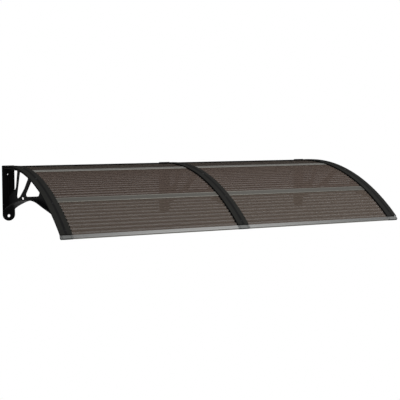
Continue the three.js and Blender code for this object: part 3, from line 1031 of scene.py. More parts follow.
@dataclass(frozen=True)
class CrossBars:
    """The joint profiles and front rails of both bays.

    Corner is how far a bevel cuts in, and edge how far a rounding reaches. The rail's radii are those
    of its outline's corners in turn.
    """

    joint_upper: float = 42.0
    joint_lower: float = 34.0
    joint_web: float = 2.0
    flange: float = 1.8
    bead: float = 5.0
    bead_rise: float = 0.5
    bead_slope: float = 1.5
    joint_corner: float = 1.0
    joint_edge: float = 0.5
    rail_lower: float = 18.0
    rail_radii: tuple[float, ...] = (0.4, 0.3, 0.3, 0.4, 0.6, 1.6, 2.0, 0.6)

    def joint_section(self, at: float) -> np.ndarray:
        """Draws an H on its side round the sheets' edges, with a raised bead along both rims.

        Args:
            at: Its middle along the arch.

        Returns:
            The outline, as along and up.
        """
        half, rim = self.joint_upper / 2, self.joint_upper / 2 - self.bead
        low, top, under, bottom = SIZES.channel(self.flange)
        crest = top + self.bead_rise
        right = np.array([
            [rim - self.bead_slope, top], [rim, crest], [half - self.joint_corner, crest],
            [half, crest - self.joint_corner], [half, low], [self.joint_web / 2, low],
            [self.joint_web / 2, under], [self.joint_lower / 2, under], [self.joint_lower / 2, bottom],
        ])
        return rounded(mirrored(right), self.joint_edge, steps=3) + np.array([at, 0.0])

    def rail_section(self) -> np.ndarray:
        """Draws a channel open to the rear that holds the sheets' front edge.

        Returns:
            The outline, as along and up, with its corners eased.
        """
        end, inside = ARCH.length, ARCH.length - SIZES.rail_nose
        low, top, under, bottom = SIZES.channel(self.flange)
        corners = np.array([
            [end - SIZES.rail_upper, low], [inside, low], [inside, under],
            [end - self.rail_lower, under], [end - self.rail_lower, bottom],
            [end, bottom], [end, top], [end - SIZES.rail_upper, top],
        ])
        return rounded(corners, np.array(self.rail_radii))

    def build(self, assembly: Assembly) -> None:
        """Makes the bars of both bays.

        Args:
            assembly: Takes the pieces.
        """
        for bay in BAYS:
            run = SIZES.bay_run(bay, SIZES.cap_width)
            for place, at in (("rear", SIZES.rear_joint), ("front", SIZES.front_joint)):
                name = f"joint_profile_{bay}_{place}"
                mesh = outward_mesh(name, across_roof(self.joint_section(at), run))
                from_middle = abs(ARCH.unroll(per_face(mesh, "center") / MM) - at)
                between = from_middle < self.joint_upper / 2 - self.bead - self.bead_slope / 2
                # Painted shade on the upward faces between the beads.
                inlay = (JOINT_PAINTED_RECESS_SHADE, between & faces_upward(mesh))
                assembly.add(name, mesh, MILL_ALUMINIUM_AND_RAIL_SHADE, Slot.ALUMINIUM, edge=SIZES.rounding, inlay=inlay)
            name = f"front_rail_{bay}"
            mesh = outward_mesh(name, across_roof(self.rail_section(), run))
            # Painted light and shade: upward faces take the satin finish, the others the mill finish.
            inlay = (MILL_ALUMINIUM_AND_RAIL_SHADE, ~faces_upward(mesh))
            assembly.add(name, mesh, RAIL_TOP_PAINTED_LIGHT, Slot.ALUMINIUM, edge=SIZES.rounding, inlay=inlay)


@dataclass(frozen=True)
class WallEdge:
    """The profile against the wall that takes the sheets' rear edge, and the seal on top of it."""

    lip: float = 30.0
    upper_lip: float = 26.0
    flange: float = 1.8
    leg_height: float = 14.0
    leg_thickness: float = 2.4
    top: float = 11.0
    edge: float = 0.5
    room: float = 2.0
    seal_thickness: float = 5.5
    seal_height: float = 7.0
    seal_tip: float = 1.3
    seal_bevel: float = 5.2
    seal_edge: float = 1.0

    def side_view(self, flat: Sequence[tuple[float, float]]) -> np.ndarray:
        """Turns along and up into distances out from the wall and down from the plates' top.

        Args:
            flat: Points of the flat drawing.

        Returns:
            The same points in the side view.
        """
        drawn = np.array(flat)
        placed = ARCH.place(drawn[:, 0], drawn[:, 1], 0.0)
        return np.stack([-placed[:, 1], ARCH.plate_top - placed[:, 2]], axis=1)

    def run(self, outline: np.ndarray, bay: str) -> Shell:
        """Runs a side view along the wall.

        Args:
            outline: Distances out from the wall and down from the plates' top.
            bay: left or right.

        Returns:
            The closed run.
        """
        x = SIZES.bay_run(bay, SIZES.plate_width)[:, None]
        parts = np.broadcast_arrays(x, -outline[None, :, 0], ARCH.plate_top - outline[None, :, 1])
        return swept(np.stack(parts, axis=-1))

    def profile(self) -> np.ndarray:
        """Draws a leg against the wall with a channel on its front.

        Returns:
            The side view, as one outline.
        """
        low, top, under, bottom = SIZES.channel(self.flange)
        back = TwinWallSheets.rear - self.room
        channel = self.side_view([
            (self.leg_thickness, top), (self.upper_lip, top), (self.upper_lip, low), (back, low),
            (back, under), (self.lip, under), (self.lip, bottom), (self.leg_thickness, bottom),
        ])
        channel[[0, -1], 0] = self.leg_thickness
        foot = self.top + self.leg_height
        leg = np.array([
            [self.leg_thickness, foot], [SIZES.clearance, foot], [SIZES.clearance, self.top],
            [self.leg_thickness, self.top],
        ])
        return rounded(np.concatenate([channel, leg]), self.edge, steps=3)

    def seal(self) -> np.ndarray:
        """Draws a soft wedge whose thin tip lies against the wall.

        Returns:
            The side view.
        """
        seat, wall = self.top - SIZES.clearance, SIZES.clearance
        high = seat - self.seal_height
        corners = np.array([
            [wall, seat], [wall, high], [wall + self.seal_tip, high],
            [self.seal_thickness, high + self.seal_bevel], [self.seal_thickness, seat],
        ])
        return rounded(corners, self.seal_edge)

    def build(self, assembly: Assembly) -> None:
        """Makes the profile and the seal of both bays.

        Args:
            assembly: Takes the pieces.
        """
        for bay in BAYS:
            profile, seal = self.run(self.profile(), bay), self.run(self.seal(), bay)
            assembly.add(f"wall_profile_{bay}", profile, EXTRUDED_PVC, Slot.PROFILE, edge=SIZES.rounding)
            assembly.add(f"wall_seal_{bay}", seal, EPDM_RUBBER, Slot.RUBBER)


@dataclass(frozen=True)
class Screws:
    """Countersunk screws with a cross recess.

    The recess is recess wide at its mouth. Its arms reach out by a share of the head, and its depth
    is a share of the head's. Above is how far a solid that is cut away stands over the head.
    """

    head: float = 8.4
    head_depth: float = 3.0
    dome_edge: float = 0.5
    dome_drop: float = 0.02
    rim_top: float = 0.3
    rim_bottom: float = 0.6
    shank: float = 4.2
    length: float = 24.0
    neck: float = 1.0
    thread_depth: float = 0.35
    thread_turns: int = 22
    play: float = 0.3
    mouth_depth: float = 0.7
    recess: float = 0.9
    arm_share: float = 0.3
    arm_tip_share: float = 0.12
    depth_share: float = 0.7
    taper: float = 0.6
    above: float = 0.5

    def body(self) -> Shell:
        """Turns the body: a shallow dome, a cone, a threaded shank and a point.

        The thread is a zigzag in the profile: every other point lies a thread's depth further in.

        Returns:
            The body, upright with its head at the origin.
        """
        radius, thread = self.head / 2, self.shank / 2
        flanks = 2 * self.thread_turns
        flight = np.linspace(-self.head_depth - self.neck, -self.length + self.shank, flanks)
        ridge = thread - self.thread_depth * (np.arange(flanks) % 2)
        shank = np.stack([ridge, flight], axis=1)
        head = np.array([
            [0.0, 0.0], [radius - self.dome_edge, -self.dome_drop], [radius, -self.rim_top],
            [radius, -self.rim_bottom], [thread, -self.head_depth],
        ])
        return turned(np.concatenate([head, shank, [[0.0, -self.length]]]))

    def seat(self) -> Shell:
        """Turns the countersunk hole that the screw sits in.

        Returns:
            The solid to cut away, upright with its mouth at the origin.
        """
        hole, mouth = self.shank / 2 + self.play, self.head / 2 + self.play
        return turned(np.array([
            [0.0, 2 * self.above], [mouth, 2 * self.above], [mouth, -self.mouth_depth],
            [hole, -self.head_depth - self.play], [hole, -self.length], [0.0, -self.length],
        ]))

    def cross(self) -> list[Shell]:
        """Makes the two bars of the recess, tapered towards its bottom.

        Returns:
            The solids to cut out of the head.
        """
        wide, narrow = self.head * self.arm_share, self.head * self.arm_tip_share
        high, deep = self.above, -self.head_depth * self.depth_share
        half, tip = self.recess / 2, self.recess / 2 * self.taper
        bars = []
        for turn in (0.0, math.pi / 2):
            corners = np.array([
                [[-wide, -half, high], [wide, -half, high], [wide, half, high], [-wide, half, high]],
                [[-narrow, -tip, deep], [narrow, -tip, deep], [narrow, tip, deep], [-narrow, tip, deep]],
            ])
            spin = np.array([
                [math.cos(turn), -math.sin(turn), 0], [math.sin(turn), math.cos(turn), 0], [0, 0, 1],
            ])
            bars.append(swept(corners @ spin.T))
        return bars

    def stand(self, shell: Shell, along: float, up: float, x: float, lean: float = 0.0) -> Shell:
        """Stands an upright shell on the arch at a height, leaning by a further angle.

        Args:
            shell: The upright shell with its head at the origin.
            along: Where it stands along the arch.
            up: Height of its head.
            x: Where it stands along the wall.
            lean: Further turn about the x axis, towards the front.

        Returns:
            The shell in its place.
        """
        turn = float(ARCH.angle(along)) + lean
        tilt = np.array([
            [1, 0, 0], [0, math.cos(turn), -math.sin(turn)], [0, math.sin(turn), math.cos(turn)],
        ])
        return Shell(shell.points @ tilt.T + ARCH.place(along, up, x), shell.faces)

    def mesh(self, name: str, along: float, up: float, x: float, lean: float = 0.0) -> bpy.types.Mesh:
        """A finished screw in its place, with the cross cut into its head."""
        place = [self.stand(bar, along, up, x, lean) for bar in self.cross()]
        return combined(self.stand(self.body(), along, up, x, lean), place, "DIFFERENCE", name)


COVER_SCREWS = Screws()
CAP_SCREWS = Screws(head=6.0, head_depth=2.0, shank=3.0, length=7.2, recess=0.7)


@dataclass(frozen=True)
class CoverStrips:
    """The strips screwed down over the brackets, with their gaskets and screws.

    The crown is flat over the width flat and falls to the height edge at either side. The corner
    radii are those of the outline's right half, from the crown round to the inner rib.
    """

    width: float = 62.0
    edge: float = 7.4
    flat: float = 12.0
    wall: float = 2.2
    lip: float = 2.0
    lip_bottom: float = 0.7
    rib_offset: float = 18.5
    rib_width: float = 3.0
    gasket_width: float = 6.0
    gasket_height: float = 1.7
    gasket_seat: float = 0.61
    # The skirt and fingers are black rubber put along the strip's edge as painted shadow.
    skirt_reach: float = 2.8
    finger_reach: float = 6.5
    finger_width: float = 10.0
    finger_rise: float = 3.8
    flap_low: float = 0.1
    flap_tip: float = 0.9
    side_gap: float = 0.1
    lip_gap: float = 0.05
    bar_gap: float = 1.0
    gasket_edge: float = 0.6
    rear: float = 7.5
    front: float = 1035.7
    corner_radii: tuple[float, ...] = (2.0, 1.2, 0.4, 0.4, 0.6, 0.6, 0.3, 0.3, 0.6)

    def section(self) -> np.ndarray:
        """Draws a shallow roof with a lip down each side and two ribs inside that press on the gaskets.

        The roof falls in a straight line from the flat crown to either edge.

        Returns:
            The outline, as x and up.
        """
        half, inner = self.width / 2, self.width / 2 - self.lip
        crown = SIZES.cover_crown
        slope = (crown - self.edge) / (half - self.flat / 2)
        rib_out, rib_in = (self.rib_offset + sign * self.rib_width / 2 for sign in (1, -1))
        rib_bottom = self.gasket_seat + self.gasket_height + SIZES.clearance

        def ceiling(x: float) -> float:
            """Height of the strip's inner face."""
            return self.edge + slope * (half - x) - self.wall

        right = np.array([
            [self.flat / 2, crown], [half, self.edge], [half, self.lip_bottom],
            [inner, self.lip_bottom], [inner, ceiling(inner)], [rib_out, ceiling(rib_out)],
            [rib_out, rib_bottom], [rib_in, rib_bottom], [rib_in, ceiling(rib_in)],
        ])
        radii = np.array(self.corner_radii)
        return rounded(mirrored(right), np.concatenate([radii, radii[::-1]]))

    def gasket_section(self) -> np.ndarray:
        """Draws a flat strip with rounded sides.

        Returns:
            The outline, as x and up.
        """
        half, low = self.gasket_width / 2, self.gasket_seat
        high = low + self.gasket_height
        corners = np.array([[-half, low], [half, low], [half, high], [-half, high]])
        return rounded(corners, self.gasket_edge)

    def painted_shadow_flap(self, sign: float, reach: float) -> np.ndarray:
        """Section of a painted-shadow flap that runs out under the strip's lip and turns up against its
        edge.

        Args:
            sign: 1 for the gasket to the right of the screws, -1 for the one to the left.
            reach: How far it stands out from the strip.

        Returns:
            The section's outline.
        """
        inner, half = self.rib_offset + self.gasket_width / 2, self.width / 2
        tip, beside = half + reach, half + self.side_gap
        low, under_lip = self.flap_low, self.lip_bottom - self.lip_gap
        return np.array([
            [inner, low], [tip, low], [tip, self.flap_tip], [beside, self.finger_rise],
            [beside, under_lip], [inner, under_lip],
        ]) * np.array([sign, 1.0])

    def painted_shadow_flaps(self, sign: float) -> list[Shell]:
        """Makes black rubber on the gasket as painted shadow: a narrow skirt between the bars, and a
        longer finger over each rib.

        Args:
            sign: 1 for the gasket to the right of the screws, -1 for the one to the left.

        Returns:
            A shell for each stretch of the skirt and for each finger.
        """
        from_bar = CrossBars.joint_upper / 2 + self.bar_gap
        bars = [SIZES.rear_joint, SIZES.front_joint]
        starts = [self.rear] + [bar + from_bar for bar in bars]
        ends = [bar - from_bar for bar in bars] + [self.front]
        skirt = self.painted_shadow_flap(sign, self.skirt_reach)
        shells = [along_roof(skirt, start, end, 0.0) for start, end in zip(starts, ends)]
        finger, half = self.painted_shadow_flap(sign, self.finger_reach), self.finger_width / 2
        for at in TwinWallSheets().ribs_clear_of(from_bar + half):
            if self.rear < at - half and at + half < self.front:
                shells.append(along_roof(finger, at - half, at + half, 0.0))
        return shells

    def build(self, assembly: Assembly) -> None:
        """Makes the strip, gaskets and screws over each bracket.

        Args:
            assembly: Takes the pieces.
        """
        strip = along_roof(self.section(), self.rear, self.front, 0.0)
        seats = [COVER_SCREWS.stand(COVER_SCREWS.seat(), at, SIZES.cover_crown, 0.0)
                 for at in SIZES.screws_at]
        pattern = combined(strip, seats, "DIFFERENCE", "cover_strip")
        screws = [COVER_SCREWS.mesh("cover_screw", at, SIZES.cover_crown, 0.0) for at in SIZES.screws_at]
        on_crown = abs(per_face(pattern, "center")[:, 0]) < self.flat / 2 * MM
        # The sides take the matt black as painted shade; the crown takes it too.
        inlay = (CROWN_BLACK_AND_SIDE_SHADE, on_crown | ~faces_upward(pattern))
        for side in SIDES:
            x = SIZES.bracket_x(side)
            strip = moved_copy(pattern, x)
            assembly.add(f"cover_strip_{side}", strip, PAINTED_COVER, Slot.COVER, inlay=inlay)
            for number, sign in ((1, -1.0), (2, 1.0)):
                over_sheets = abs(x + sign * self.width / 2) < SIZES.pitch
                parts = [along_roof(self.gasket_section(), self.rear, self.front, sign * self.rib_offset)]
                # Painted shadow: black flaps along the strip's edge over the sheets.
                parts += self.painted_shadow_flaps(sign) if over_sheets else []
                gasket = Shell.joined(parts).moved(x)
                assembly.add(f"gasket_{side}_{number}", gasket, EPDM_RUBBER, Slot.RUBBER)
            for number, screw in enumerate(screws, 1):
                mesh = moved_copy(screw, x)
                assembly.add(f"cover_screw_{side}_{number}", mesh, BLACK_ZINC, Slot.SCREW)


@dataclass(frozen=True)
class FrontCaps:
    """The caps that close the front edge at the brackets, with their screws.

    A groove lies groove_inset from either end and slants down over twice groove_slant at its sides.
    The corner radii are those of the hook's corners in turn.
    """

    flange: float = 2.2
    nose: float = 2.4
    drop: float = 7.3
    groove: float = 2.2
    groove_inset: float = 9.0
    groove_depth: float = 1.1
    groove_slant: float = 0.1
    end_corner: float = 7.0
    end_edge: float = 0.6
    corner_radii: tuple[float, ...] = (0.3, 0.3, 0.4, 0.9, 2.0, 0.5)

    def section(self, depth: float) -> np.ndarray:
        """Draws a hook over the roof's front edge.

        Args:
            depth: How far it is shrunk all round.

        Returns:
            The outline, as along and up.
        """
        end, inside = ARCH.length, ARCH.length - self.nose
        low, top = SIZES.clearance, SIZES.clearance + self.flange
        corners = np.array([
            [end - SIZES.rail_upper, low], [inside, low], [inside, -self.drop], [end, -self.drop],
            [end, top], [end - SIZES.rail_upper, top],
        ])
        loop = counterclockwise(rounded(corners, np.array(self.corner_radii)))
        return inset(loop, depth)

    def stations(self) -> tuple[np.ndarray, np.ndarray]:
        """Places the sections of a cap, with rounded ends and two fine grooves.

        Returns:
            Places across the cap, and how far the section is shrunk at each.
        """
        half, edge = SIZES.cap_width / 2, self.end_edge
        quarter = np.linspace(0, math.pi / 2, 4)
        end_x = -half + edge * (1 - np.cos(quarter))
        end_depth = edge * (1 - np.sin(quarter))
        middle = -(half - self.groove_inset)
        side, slant = self.groove / 2, self.groove_slant
        groove_x = middle + np.array([-side - slant, -side + slant, side - slant, side + slant])
        groove_depth = self.groove_depth * np.array([0.0, 1.0, 1.0, 0.0])
        run_x = np.linspace(end_x[-1], groove_x[0], 8)[1:-1]
        left_x = np.concatenate([end_x, run_x, groove_x])
        left_depth = np.concatenate([end_depth, 0 * run_x, groove_depth])
        return (
            np.concatenate([left_x, [0.0], -left_x[::-1]]),
            np.concatenate([left_depth, [0.0], left_depth[::-1]]),
        )

    def shell(self, side: str) -> Shell:
        """Makes a cap from the section at each station, drawn back round a quarter circle at a free end.

        The front goes back by the corner's radius, less the root of its square less the square of the
        way beyond where the corner begins. The rear rim stays, and the rest follows in proportion.

        Args:
            side: left, centre or right. The outer end of a side cap is free.

        Returns:
            The closed cap.
        """
        x, depth = self.stations()
        rings = np.stack([self.section(float(d)) for d in depth])
        free = {"left": -1.0, "centre": 0.0, "right": 1.0}[side]
        beyond = np.clip(free * x - (SIZES.cap_width / 2 - self.end_corner), 0, self.end_corner)
        beyond = beyond * abs(free)
        back = self.end_corner - np.sqrt(self.end_corner**2 - beyond**2)
        reach = np.clip((rings[:, :, 0] - (ARCH.length - SIZES.rail_upper)) / SIZES.rail_upper, 0, 1)
        along = rings[:, :, 0] - back[:, None] * reach
        return swept(ARCH.place(along, rings[:, :, 1], x[:, None]))

    def build(self, assembly: Assembly) -> None:
        """Makes a cap and its screw at each bracket.

        Args:
            assembly: Takes the pieces.
        """
        up = SIZES.sheet_under / 2
        lean = math.pi / 2
        seat = CAP_SCREWS.stand(CAP_SCREWS.seat(), ARCH.length, up, 0.0, lean)
        screw = CAP_SCREWS.mesh("cap_screw", ARCH.length, up, 0.0, lean)
        for side in SIDES:
            x = SIZES.bracket_x(side)
            name = f"front_cap_{side}"
            mesh = combined(self.shell(side), [seat], "DIFFERENCE", name)
            from_middle = abs(per_face(mesh, "center")[:, 0]) / MM
            from_groove = abs(from_middle - (SIZES.cap_width / 2 - self.groove_inset))
            # Painted shade in the grooves and on the faces that do not look up.
            inlay = (CAP_PAINTED_SHADE, (from_groove < self.groove / 2) | ~faces_upward(mesh))
            assembly.add(name, moved_copy(mesh, x), PAINTED_CAP, Slot.GREY_PLASTIC, inlay=inlay)
            assembly.add(f"cap_screw_{side}", moved_copy(screw, x), BLACK_ZINC, Slot.SCREW)


@dataclass(frozen=True)
class Brackets:
    """The moulded brackets: wall plate, arm, arch, web and screw bosses in one piece.

    Holes are given by diameter and drop, and the slot by its middle, length and height. The bosses'
    lower ends are eased through points counted in from the side and up from the bottom. The arch
    line and the openings are drawn out from the wall and down from the plate's top.
    """

    plate_height: float = 312.0
    plate_thickness: float = 6.0
    plate_corner: float = 4.0
    plate_edge: float = 0.9
    upper_hole: tuple[float, float] = (11.0, 50.0)
    lower_hole: tuple[float, float] = (16.0, 284.0)
    arch_width: float = 58.0
    arch_thickness: float = 5.0
    arch_edge: float = 1.0
    arm_over_arch: float = 1.0
    web_thickness: float = 5.0
    web_edge: float = 0.8
    web_rim: float = 7.0
    fillet: float = 9.0
    hub_slot: tuple[float, float, float, float] = (280.0, 166.0, 42.0, 12.0)
    arm_front: float = 1055.3
    arm_edge: float = 0.9
    end_lip: float = 6.0
    lip_inset: float = 0.5
    lip_edge: float = 0.8
    boss: float = 11.0
    boss_bottom: float = -19.9
    boss_end: tuple[tuple[float, float], ...] = ((0.8, 0.0), (0.2, 0.3), (0.0, 0.9))
    arch_line: tuple[tuple[float, float], ...] = (
        (0, 255), (95, 224), (270, 184), (420, 166), (520, 160.5), (600, 165), (690, 179), (830, 199.5),
    )
    openings: tuple[tuple[tuple[float, ...], ...], ...] = (
        ((14, 27), (188,), (158, 114), (140, 128), (14, 174)),
        ((228,), (396,), (314, 110), (229, 161), (182, 174), (165, 162)),
        ((447,), (584,), (578, 114), (562, 133), (534, 137), (347, 152), (329, 142)),
    )

    def side_view(self, from_x: float) -> Callable[[np.ndarray, np.ndarray], np.ndarray]:
        """Makes the function that stands out-and-down drawings upright.

        Args:
            from_x: Where the depth along the wall is counted from.

        Returns:
            A function that takes drawn points and depths and gives points in space.
        """
        def place(drawn: np.ndarray, depth: np.ndarray) -> np.ndarray:
            """x from the depth, y from the distance out, z from the drop."""
            return np.stack([from_x + depth, -drawn[..., 0], ARCH.plate_top - drawn[..., 1]], axis=-1)
        return place

    def plate(self) -> Shell:
        """Makes the wall plate: a half circle below, straight sides, small corners above, two holes.

        Returns:
            The closed plate.
        """
        half = SIZES.plate_width / 2
        top = ARCH.plate_top
        low = top - self.plate_height + half
        turn = np.linspace(math.pi, 2 * math.pi, 49)
        bottom = np.stack([half * np.cos(turn), low + half * np.sin(turn)], axis=1)
        corner = np.linspace(0, math.pi / 2, 9)
        r = self.plate_corner
        right = np.stack([half - r + r * np.cos(corner), top - r + r * np.sin(corner)], axis=1)
        outline = np.concatenate([bottom, mirrored(right)])
        round_ = np.linspace(0, 2 * math.pi, 40, endpoint=False)
        holes = [
            np.stack([d / 2 * np.cos(round_), top - down + d / 2 * np.sin(round_)], axis=1)
            for d, down in (self.upper_hole, self.lower_hole)
        ]

        def place(drawn: np.ndarray, depth: np.ndarray) -> np.ndarray:
            """x and z from the drawing, y from the depth out of the wall."""
            return np.stack([drawn[..., 0], -depth, drawn[..., 1]], axis=-1)

        return slab(outline, holes, self.plate_thickness, self.plate_edge, place)

    def arch_curve(self, count: int) -> tuple[np.ndarray, np.ndarray]:
        """The arch's underside as a Catmull-Rom spline through its points.

        Between two points the curve is the cubic whose slope at each point is half the chord
        between that point's neighbours.

        Args:
            count: Steps between two points.

        Returns:
            Points and unit tangents.
        """
        line = np.array(self.arch_line, float)
        padded = np.concatenate([line[:1], line, line[-1:]])
        p0, p1, p2, p3 = (padded[i:len(line) - 1 + i, None] for i in range(4))
        t = np.linspace(0, 1, count, endpoint=False)[None, :, None]
        v1, v2 = (p2 - p0) / 2, (p3 - p1) / 2
        cube, square = 2 * p1 - 2 * p2 + v1 + v2, -3 * p1 + 3 * p2 - 2 * v1 - v2
        points = ((cube * t + square) * t + v1) * t + p1
        slope = (3 * cube * t + 2 * square) * t + v1
        points = np.concatenate([points.reshape(-1, 2), line[-1:]])
        slope = np.concatenate([slope.reshape(-1, 2), v2[-1]])
        return points, slope / np.linalg.norm(slope, axis=1, keepdims=True)

    def arch(self) -> Shell:
        """Makes the arch: a rounded strip along the spline, thinned where it runs into the arm.

        It is as high as its thickness, or as the room below the arm's top where that is less.

        Returns:
            The closed strip.
        """
        points, tangent = self.arch_curve(10)
        upward = np.stack([tangent[:, 1], -tangent[:, 0]], axis=1)
        arm_top = ARCH.drop_below(points[:, 0], SIZES.sheet_under)
        room = points[:, 1] - arm_top - self.arm_over_arch
        half, thick = self.arch_width / 2, self.arch_thickness
        height = np.minimum(thick, room)
        section = rounded(
            np.array([[-half, 0], [half, 0], [half, thick], [-half, thick]]), self.arch_edge,
        )
        up = section[None, :, 1] * (height / thick)[:, None]
        out = np.maximum(points[:, None, 0] + upward[:, None, 0] * up, self.plate_thickness / 2)
        drop = points[:, None, 1] + upward[:, None, 1] * up
        x = np.broadcast_to(section[None, :, 0], out.shape)
        return swept(np.stack([x, -out, ARCH.plate_top - drop], axis=-1))

    def web(self) -> Shell:
        """Makes the web between plate, arm and arch, with its fan-shaped openings and the slot.

        Returns:
            The closed web.
        """
        lower = self.arch_curve(8)[0] - np.array([0.0, self.arch_thickness / 2])
        lower[:, 0] = np.maximum(lower[:, 0], self.plate_thickness / 2)
        lower = lower[lower[:, 1] > ARCH.drop_below(lower[:, 0], SIZES.arm_bottom)]
        out = np.linspace(lower[-1, 0], self.plate_thickness / 2, 60)
        drop = ARCH.drop_below(out, SIZES.arm_bottom) - SIZES.arm_thickness / 2
        outline = np.concatenate([lower, np.stack([out, drop], axis=1)])
        holes = [rounded(self.opening(corners), self.fillet, 8) for corners in self.openings]
        depth, down, length, height = self.hub_slot
        turn = np.linspace(-math.pi / 2, math.pi / 2, 17)
        end = np.stack([np.cos(turn), np.sin(turn)], axis=1) * height / 2
        shift = np.array([(length - height) / 2, 0.0])
        slot = np.concatenate([end + shift, -end - shift]) + np.array([depth, down])
        place = self.side_view(-self.web_thickness / 2)
        return slab(outline, [*holes, slot], self.web_thickness, self.web_edge, place)

    def opening(self, corners: Sequence[Sequence[float]]) -> np.ndarray:
        """Places an opening's corners. One given without a drop lies on the rim under the arm.

        Args:
            corners: The distance out from the wall and the drop of each corner.

        Returns:
            The corners, one row each.
        """
        return np.array([
            [corner[0], corner[1] if len(corner) > 1
             else float(ARCH.drop_below(corner[0], SIZES.arm_bottom)) + self.web_rim]
            for corner in corners
        ])

    def arm(self) -> list[Shell]:
        """Makes the arm under the sheets and the upstand at its front end.

        Returns:
            The two solids.
        """
        half, less = SIZES.arm_width / 2, self.lip_inset
        low, high = SIZES.arm_bottom, SIZES.sheet_under
        corners = np.array([[-half, low], [half, low], [half, high], [-half, high]])
        front, behind = self.arm_front, self.arm_front - self.end_lip
        lip = np.array([[behind, low + less], [front, low + less], [front, 0.0], [behind, 0.0]])
        return [
            along_roof(rounded(corners, self.arm_edge), 0.0, front - less, 0.0),
            across_roof(rounded(lip, self.lip_edge), np.array([-half + less, half - less])),
        ]

    def bosses(self) -> list[Shell]:
        """Turns the round bosses under the arm that take the cover screws.

        Returns:
            One solid for each screw.
        """
        radius = self.boss / 2
        bottom, top = self.boss_bottom, (SIZES.sheet_under + SIZES.arm_bottom) / 2
        eased = [[radius - inward, bottom + up] for inward, up in self.boss_end]
        profile = np.array([[0.0, bottom], *eased, [radius, top], [0.0, top]])
        return [COVER_SCREWS.stand(turned(profile), at, 0.0, 0.0) for at in SIZES.screws_at]

    def build(self, assembly: Assembly) -> None:
        """Joins one bracket and makes a copy for each place.

        Args:
            assembly: Takes the pieces.
        """
        others = [self.arch(), self.plate(), *self.arm(), *self.bosses()]
        pattern = combined(self.web(), others, "UNION", "bracket")
        for side in SIDES:
            mesh = moved_copy(pattern, SIZES.bracket_x(side))
            assembly.add(f"bracket_{side}", mesh, MOULDED_ABS, Slot.BLACK_ABS)


# studio


@dataclass(frozen=True)
class Lamp:
    """A square soft lamp: where it hangs and its side, in metres, and its power, in watts."""

    name: str
    place: tuple[float, float, float]
    size: float
    power: float


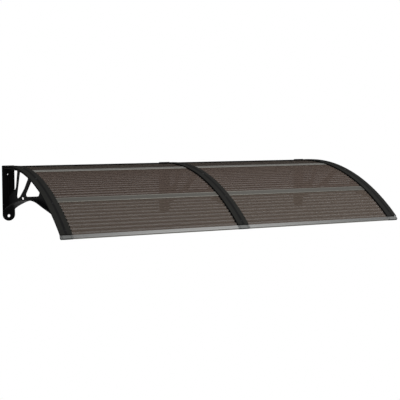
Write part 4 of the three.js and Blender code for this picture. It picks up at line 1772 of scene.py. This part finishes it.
@dataclass(frozen=True)
class Studio:
    """A plain white studio with soft lamps, the camera, and a floor as far down as under a doorway.

    Lengths are in metres. The camera is turned to the right of straight at the wall by its azimuth
    and down by its elevation, in degrees. Its lens and sensor are in millimetres.
    """

    ambient: float = 0.55
    floor_height: float = -2.2
    floor_reach: float = 12.0
    floor_colour: str = "DADADA"
    floor_roughness: float = 0.9
    camera_place: tuple[float, float, float] = (-2.4608, -5.2679, 0.4121)
    camera_azimuth: float = 27.192
    camera_elevation: float = 4.805
    lens: float = 86.0
    sensor: float = 36.0
    aim: tuple[float, float, float] = (0.0, -0.5, 0.0)
    lamps: tuple[Lamp, ...] = (
        Lamp("front_lamp", (1.6, -4.0, 2.6), 2.4, 90.0),
        Lamp("top_lamp", (1.3, -1.4, 3.0), 1.8, 35.0),
    )

    def camera(self) -> None:
        """Makes the camera."""
        data = bpy.data.cameras.new("camera")
        data.lens = self.lens
        data.sensor_width = self.sensor
        camera = bpy.data.objects.new("camera", data)
        camera.location = self.camera_place
        camera.rotation_euler = (
            math.radians(90 - self.camera_elevation), 0.0, math.radians(-self.camera_azimuth),
        )
        bpy.context.scene.collection.objects.link(camera)
        bpy.context.scene.camera = camera

    def seen_directly(self, tree: bpy.types.NodeTree) -> bpy.types.NodeSocket:
        """Tells rays from the camera, a mirror or a glass from light that falls on things.

        Args:
            tree: The node tree that takes the nodes.

        Returns:
            An output that is 1 for the first kind and 0 for the second.
        """
        path = add_node(tree, "ShaderNodeLightPath")
        shiny = add_node(tree, "ShaderNodeMath", {"operation": "MAXIMUM"}, {
            0: path.outputs["Is Glossy Ray"], 1: path.outputs["Is Transmission Ray"],
        })
        seen = add_node(tree, "ShaderNodeMath", {"operation": "MAXIMUM"}, {
            0: path.outputs["Is Camera Ray"], 1: shiny.outputs[0],
        })
        return seen.outputs[0]

    def world(self) -> None:
        """White where it is seen, and an even soft light where it falls on the object."""
        world = bpy.data.worlds.new("studio")
        bpy.context.scene.world = world
        world.use_nodes = True
        tree = world.node_tree
        background = tree.nodes["Background"]
        strength = add_node(tree, "ShaderNodeMapRange", inputs={
            "Value": self.seen_directly(tree), "To Min": self.ambient, "To Max": 1.0,
        })
        background.inputs["Color"].default_value = (1.0, 1.0, 1.0, 1.0)
        tree.links.new(strength.outputs["Result"], background.inputs["Strength"])

    def floor(self) -> None:
        """A matt white floor that shows white to the camera and keeps the object's shadow."""
        reach, height = self.floor_reach, self.floor_height
        mesh = bpy.data.meshes.new("floor")
        corners = [(-reach, -reach), (reach, -reach), (reach, reach), (-reach, reach)]
        mesh.from_pydata([(x, y, height) for x, y in corners], [], [(0, 1, 2, 3)])
        material, tree, shader = new_material("white_studio_floor")
        shader.inputs["Base Color"].default_value = linear(self.floor_colour)
        shader.inputs["Roughness"].default_value = self.floor_roughness
        glow = add_node(tree, "ShaderNodeEmission", inputs={"Strength": 1.0})
        mix = add_node(tree, "ShaderNodeMixShader", inputs={
            0: self.seen_directly(tree), 1: shader.outputs["BSDF"], 2: glow.outputs["Emission"],
        })
        tree.links.new(mix.outputs[0], tree.nodes["Material Output"].inputs["Surface"])
        mesh.materials.append(material)
        floor = bpy.data.objects.new("floor", mesh)
        bpy.context.scene.collection.objects.link(floor)

    def light(self, lamp: Lamp) -> None:
        """Hangs a lamp and turns it to shine at the studio's aim.

        Args:
            lamp: The lamp.
        """
        data = bpy.data.lights.new(lamp.name, "AREA")
        data.shape = "SQUARE"
        data.size = lamp.size
        data.energy = lamp.power
        light = bpy.data.objects.new(lamp.name, data)
        light.location = lamp.place
        towards = np.array(self.aim) - np.array(lamp.place)
        flat = math.hypot(towards[0], towards[1])
        light.rotation_euler = (
            math.atan2(flat, -towards[2]), 0.0, math.atan2(-towards[0], towards[1]),
        )
        bpy.context.scene.collection.objects.link(light)

    def build(self) -> None:
        """Sets up the studio."""
        bpy.context.scene.view_settings.view_transform = "Standard"
        self.camera()
        self.world()
        self.floor()
        for lamp in self.lamps:
            self.light(lamp)


def main() -> None:
    """Builds the studio and every piece of the canopy."""
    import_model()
    Studio().build()
    assembly = Assembly()
    for part in (TwinWallSheets(), CrossBars(), WallEdge(), CoverStrips(), FrontCaps(), Brackets()):
        part.build(assembly)
        LOG.info("built %s", type(part).__name__)


if __name__ == "__main__":
    logging.basicConfig(level=logging.INFO, format="%(name)s: %(message)s")
    main()
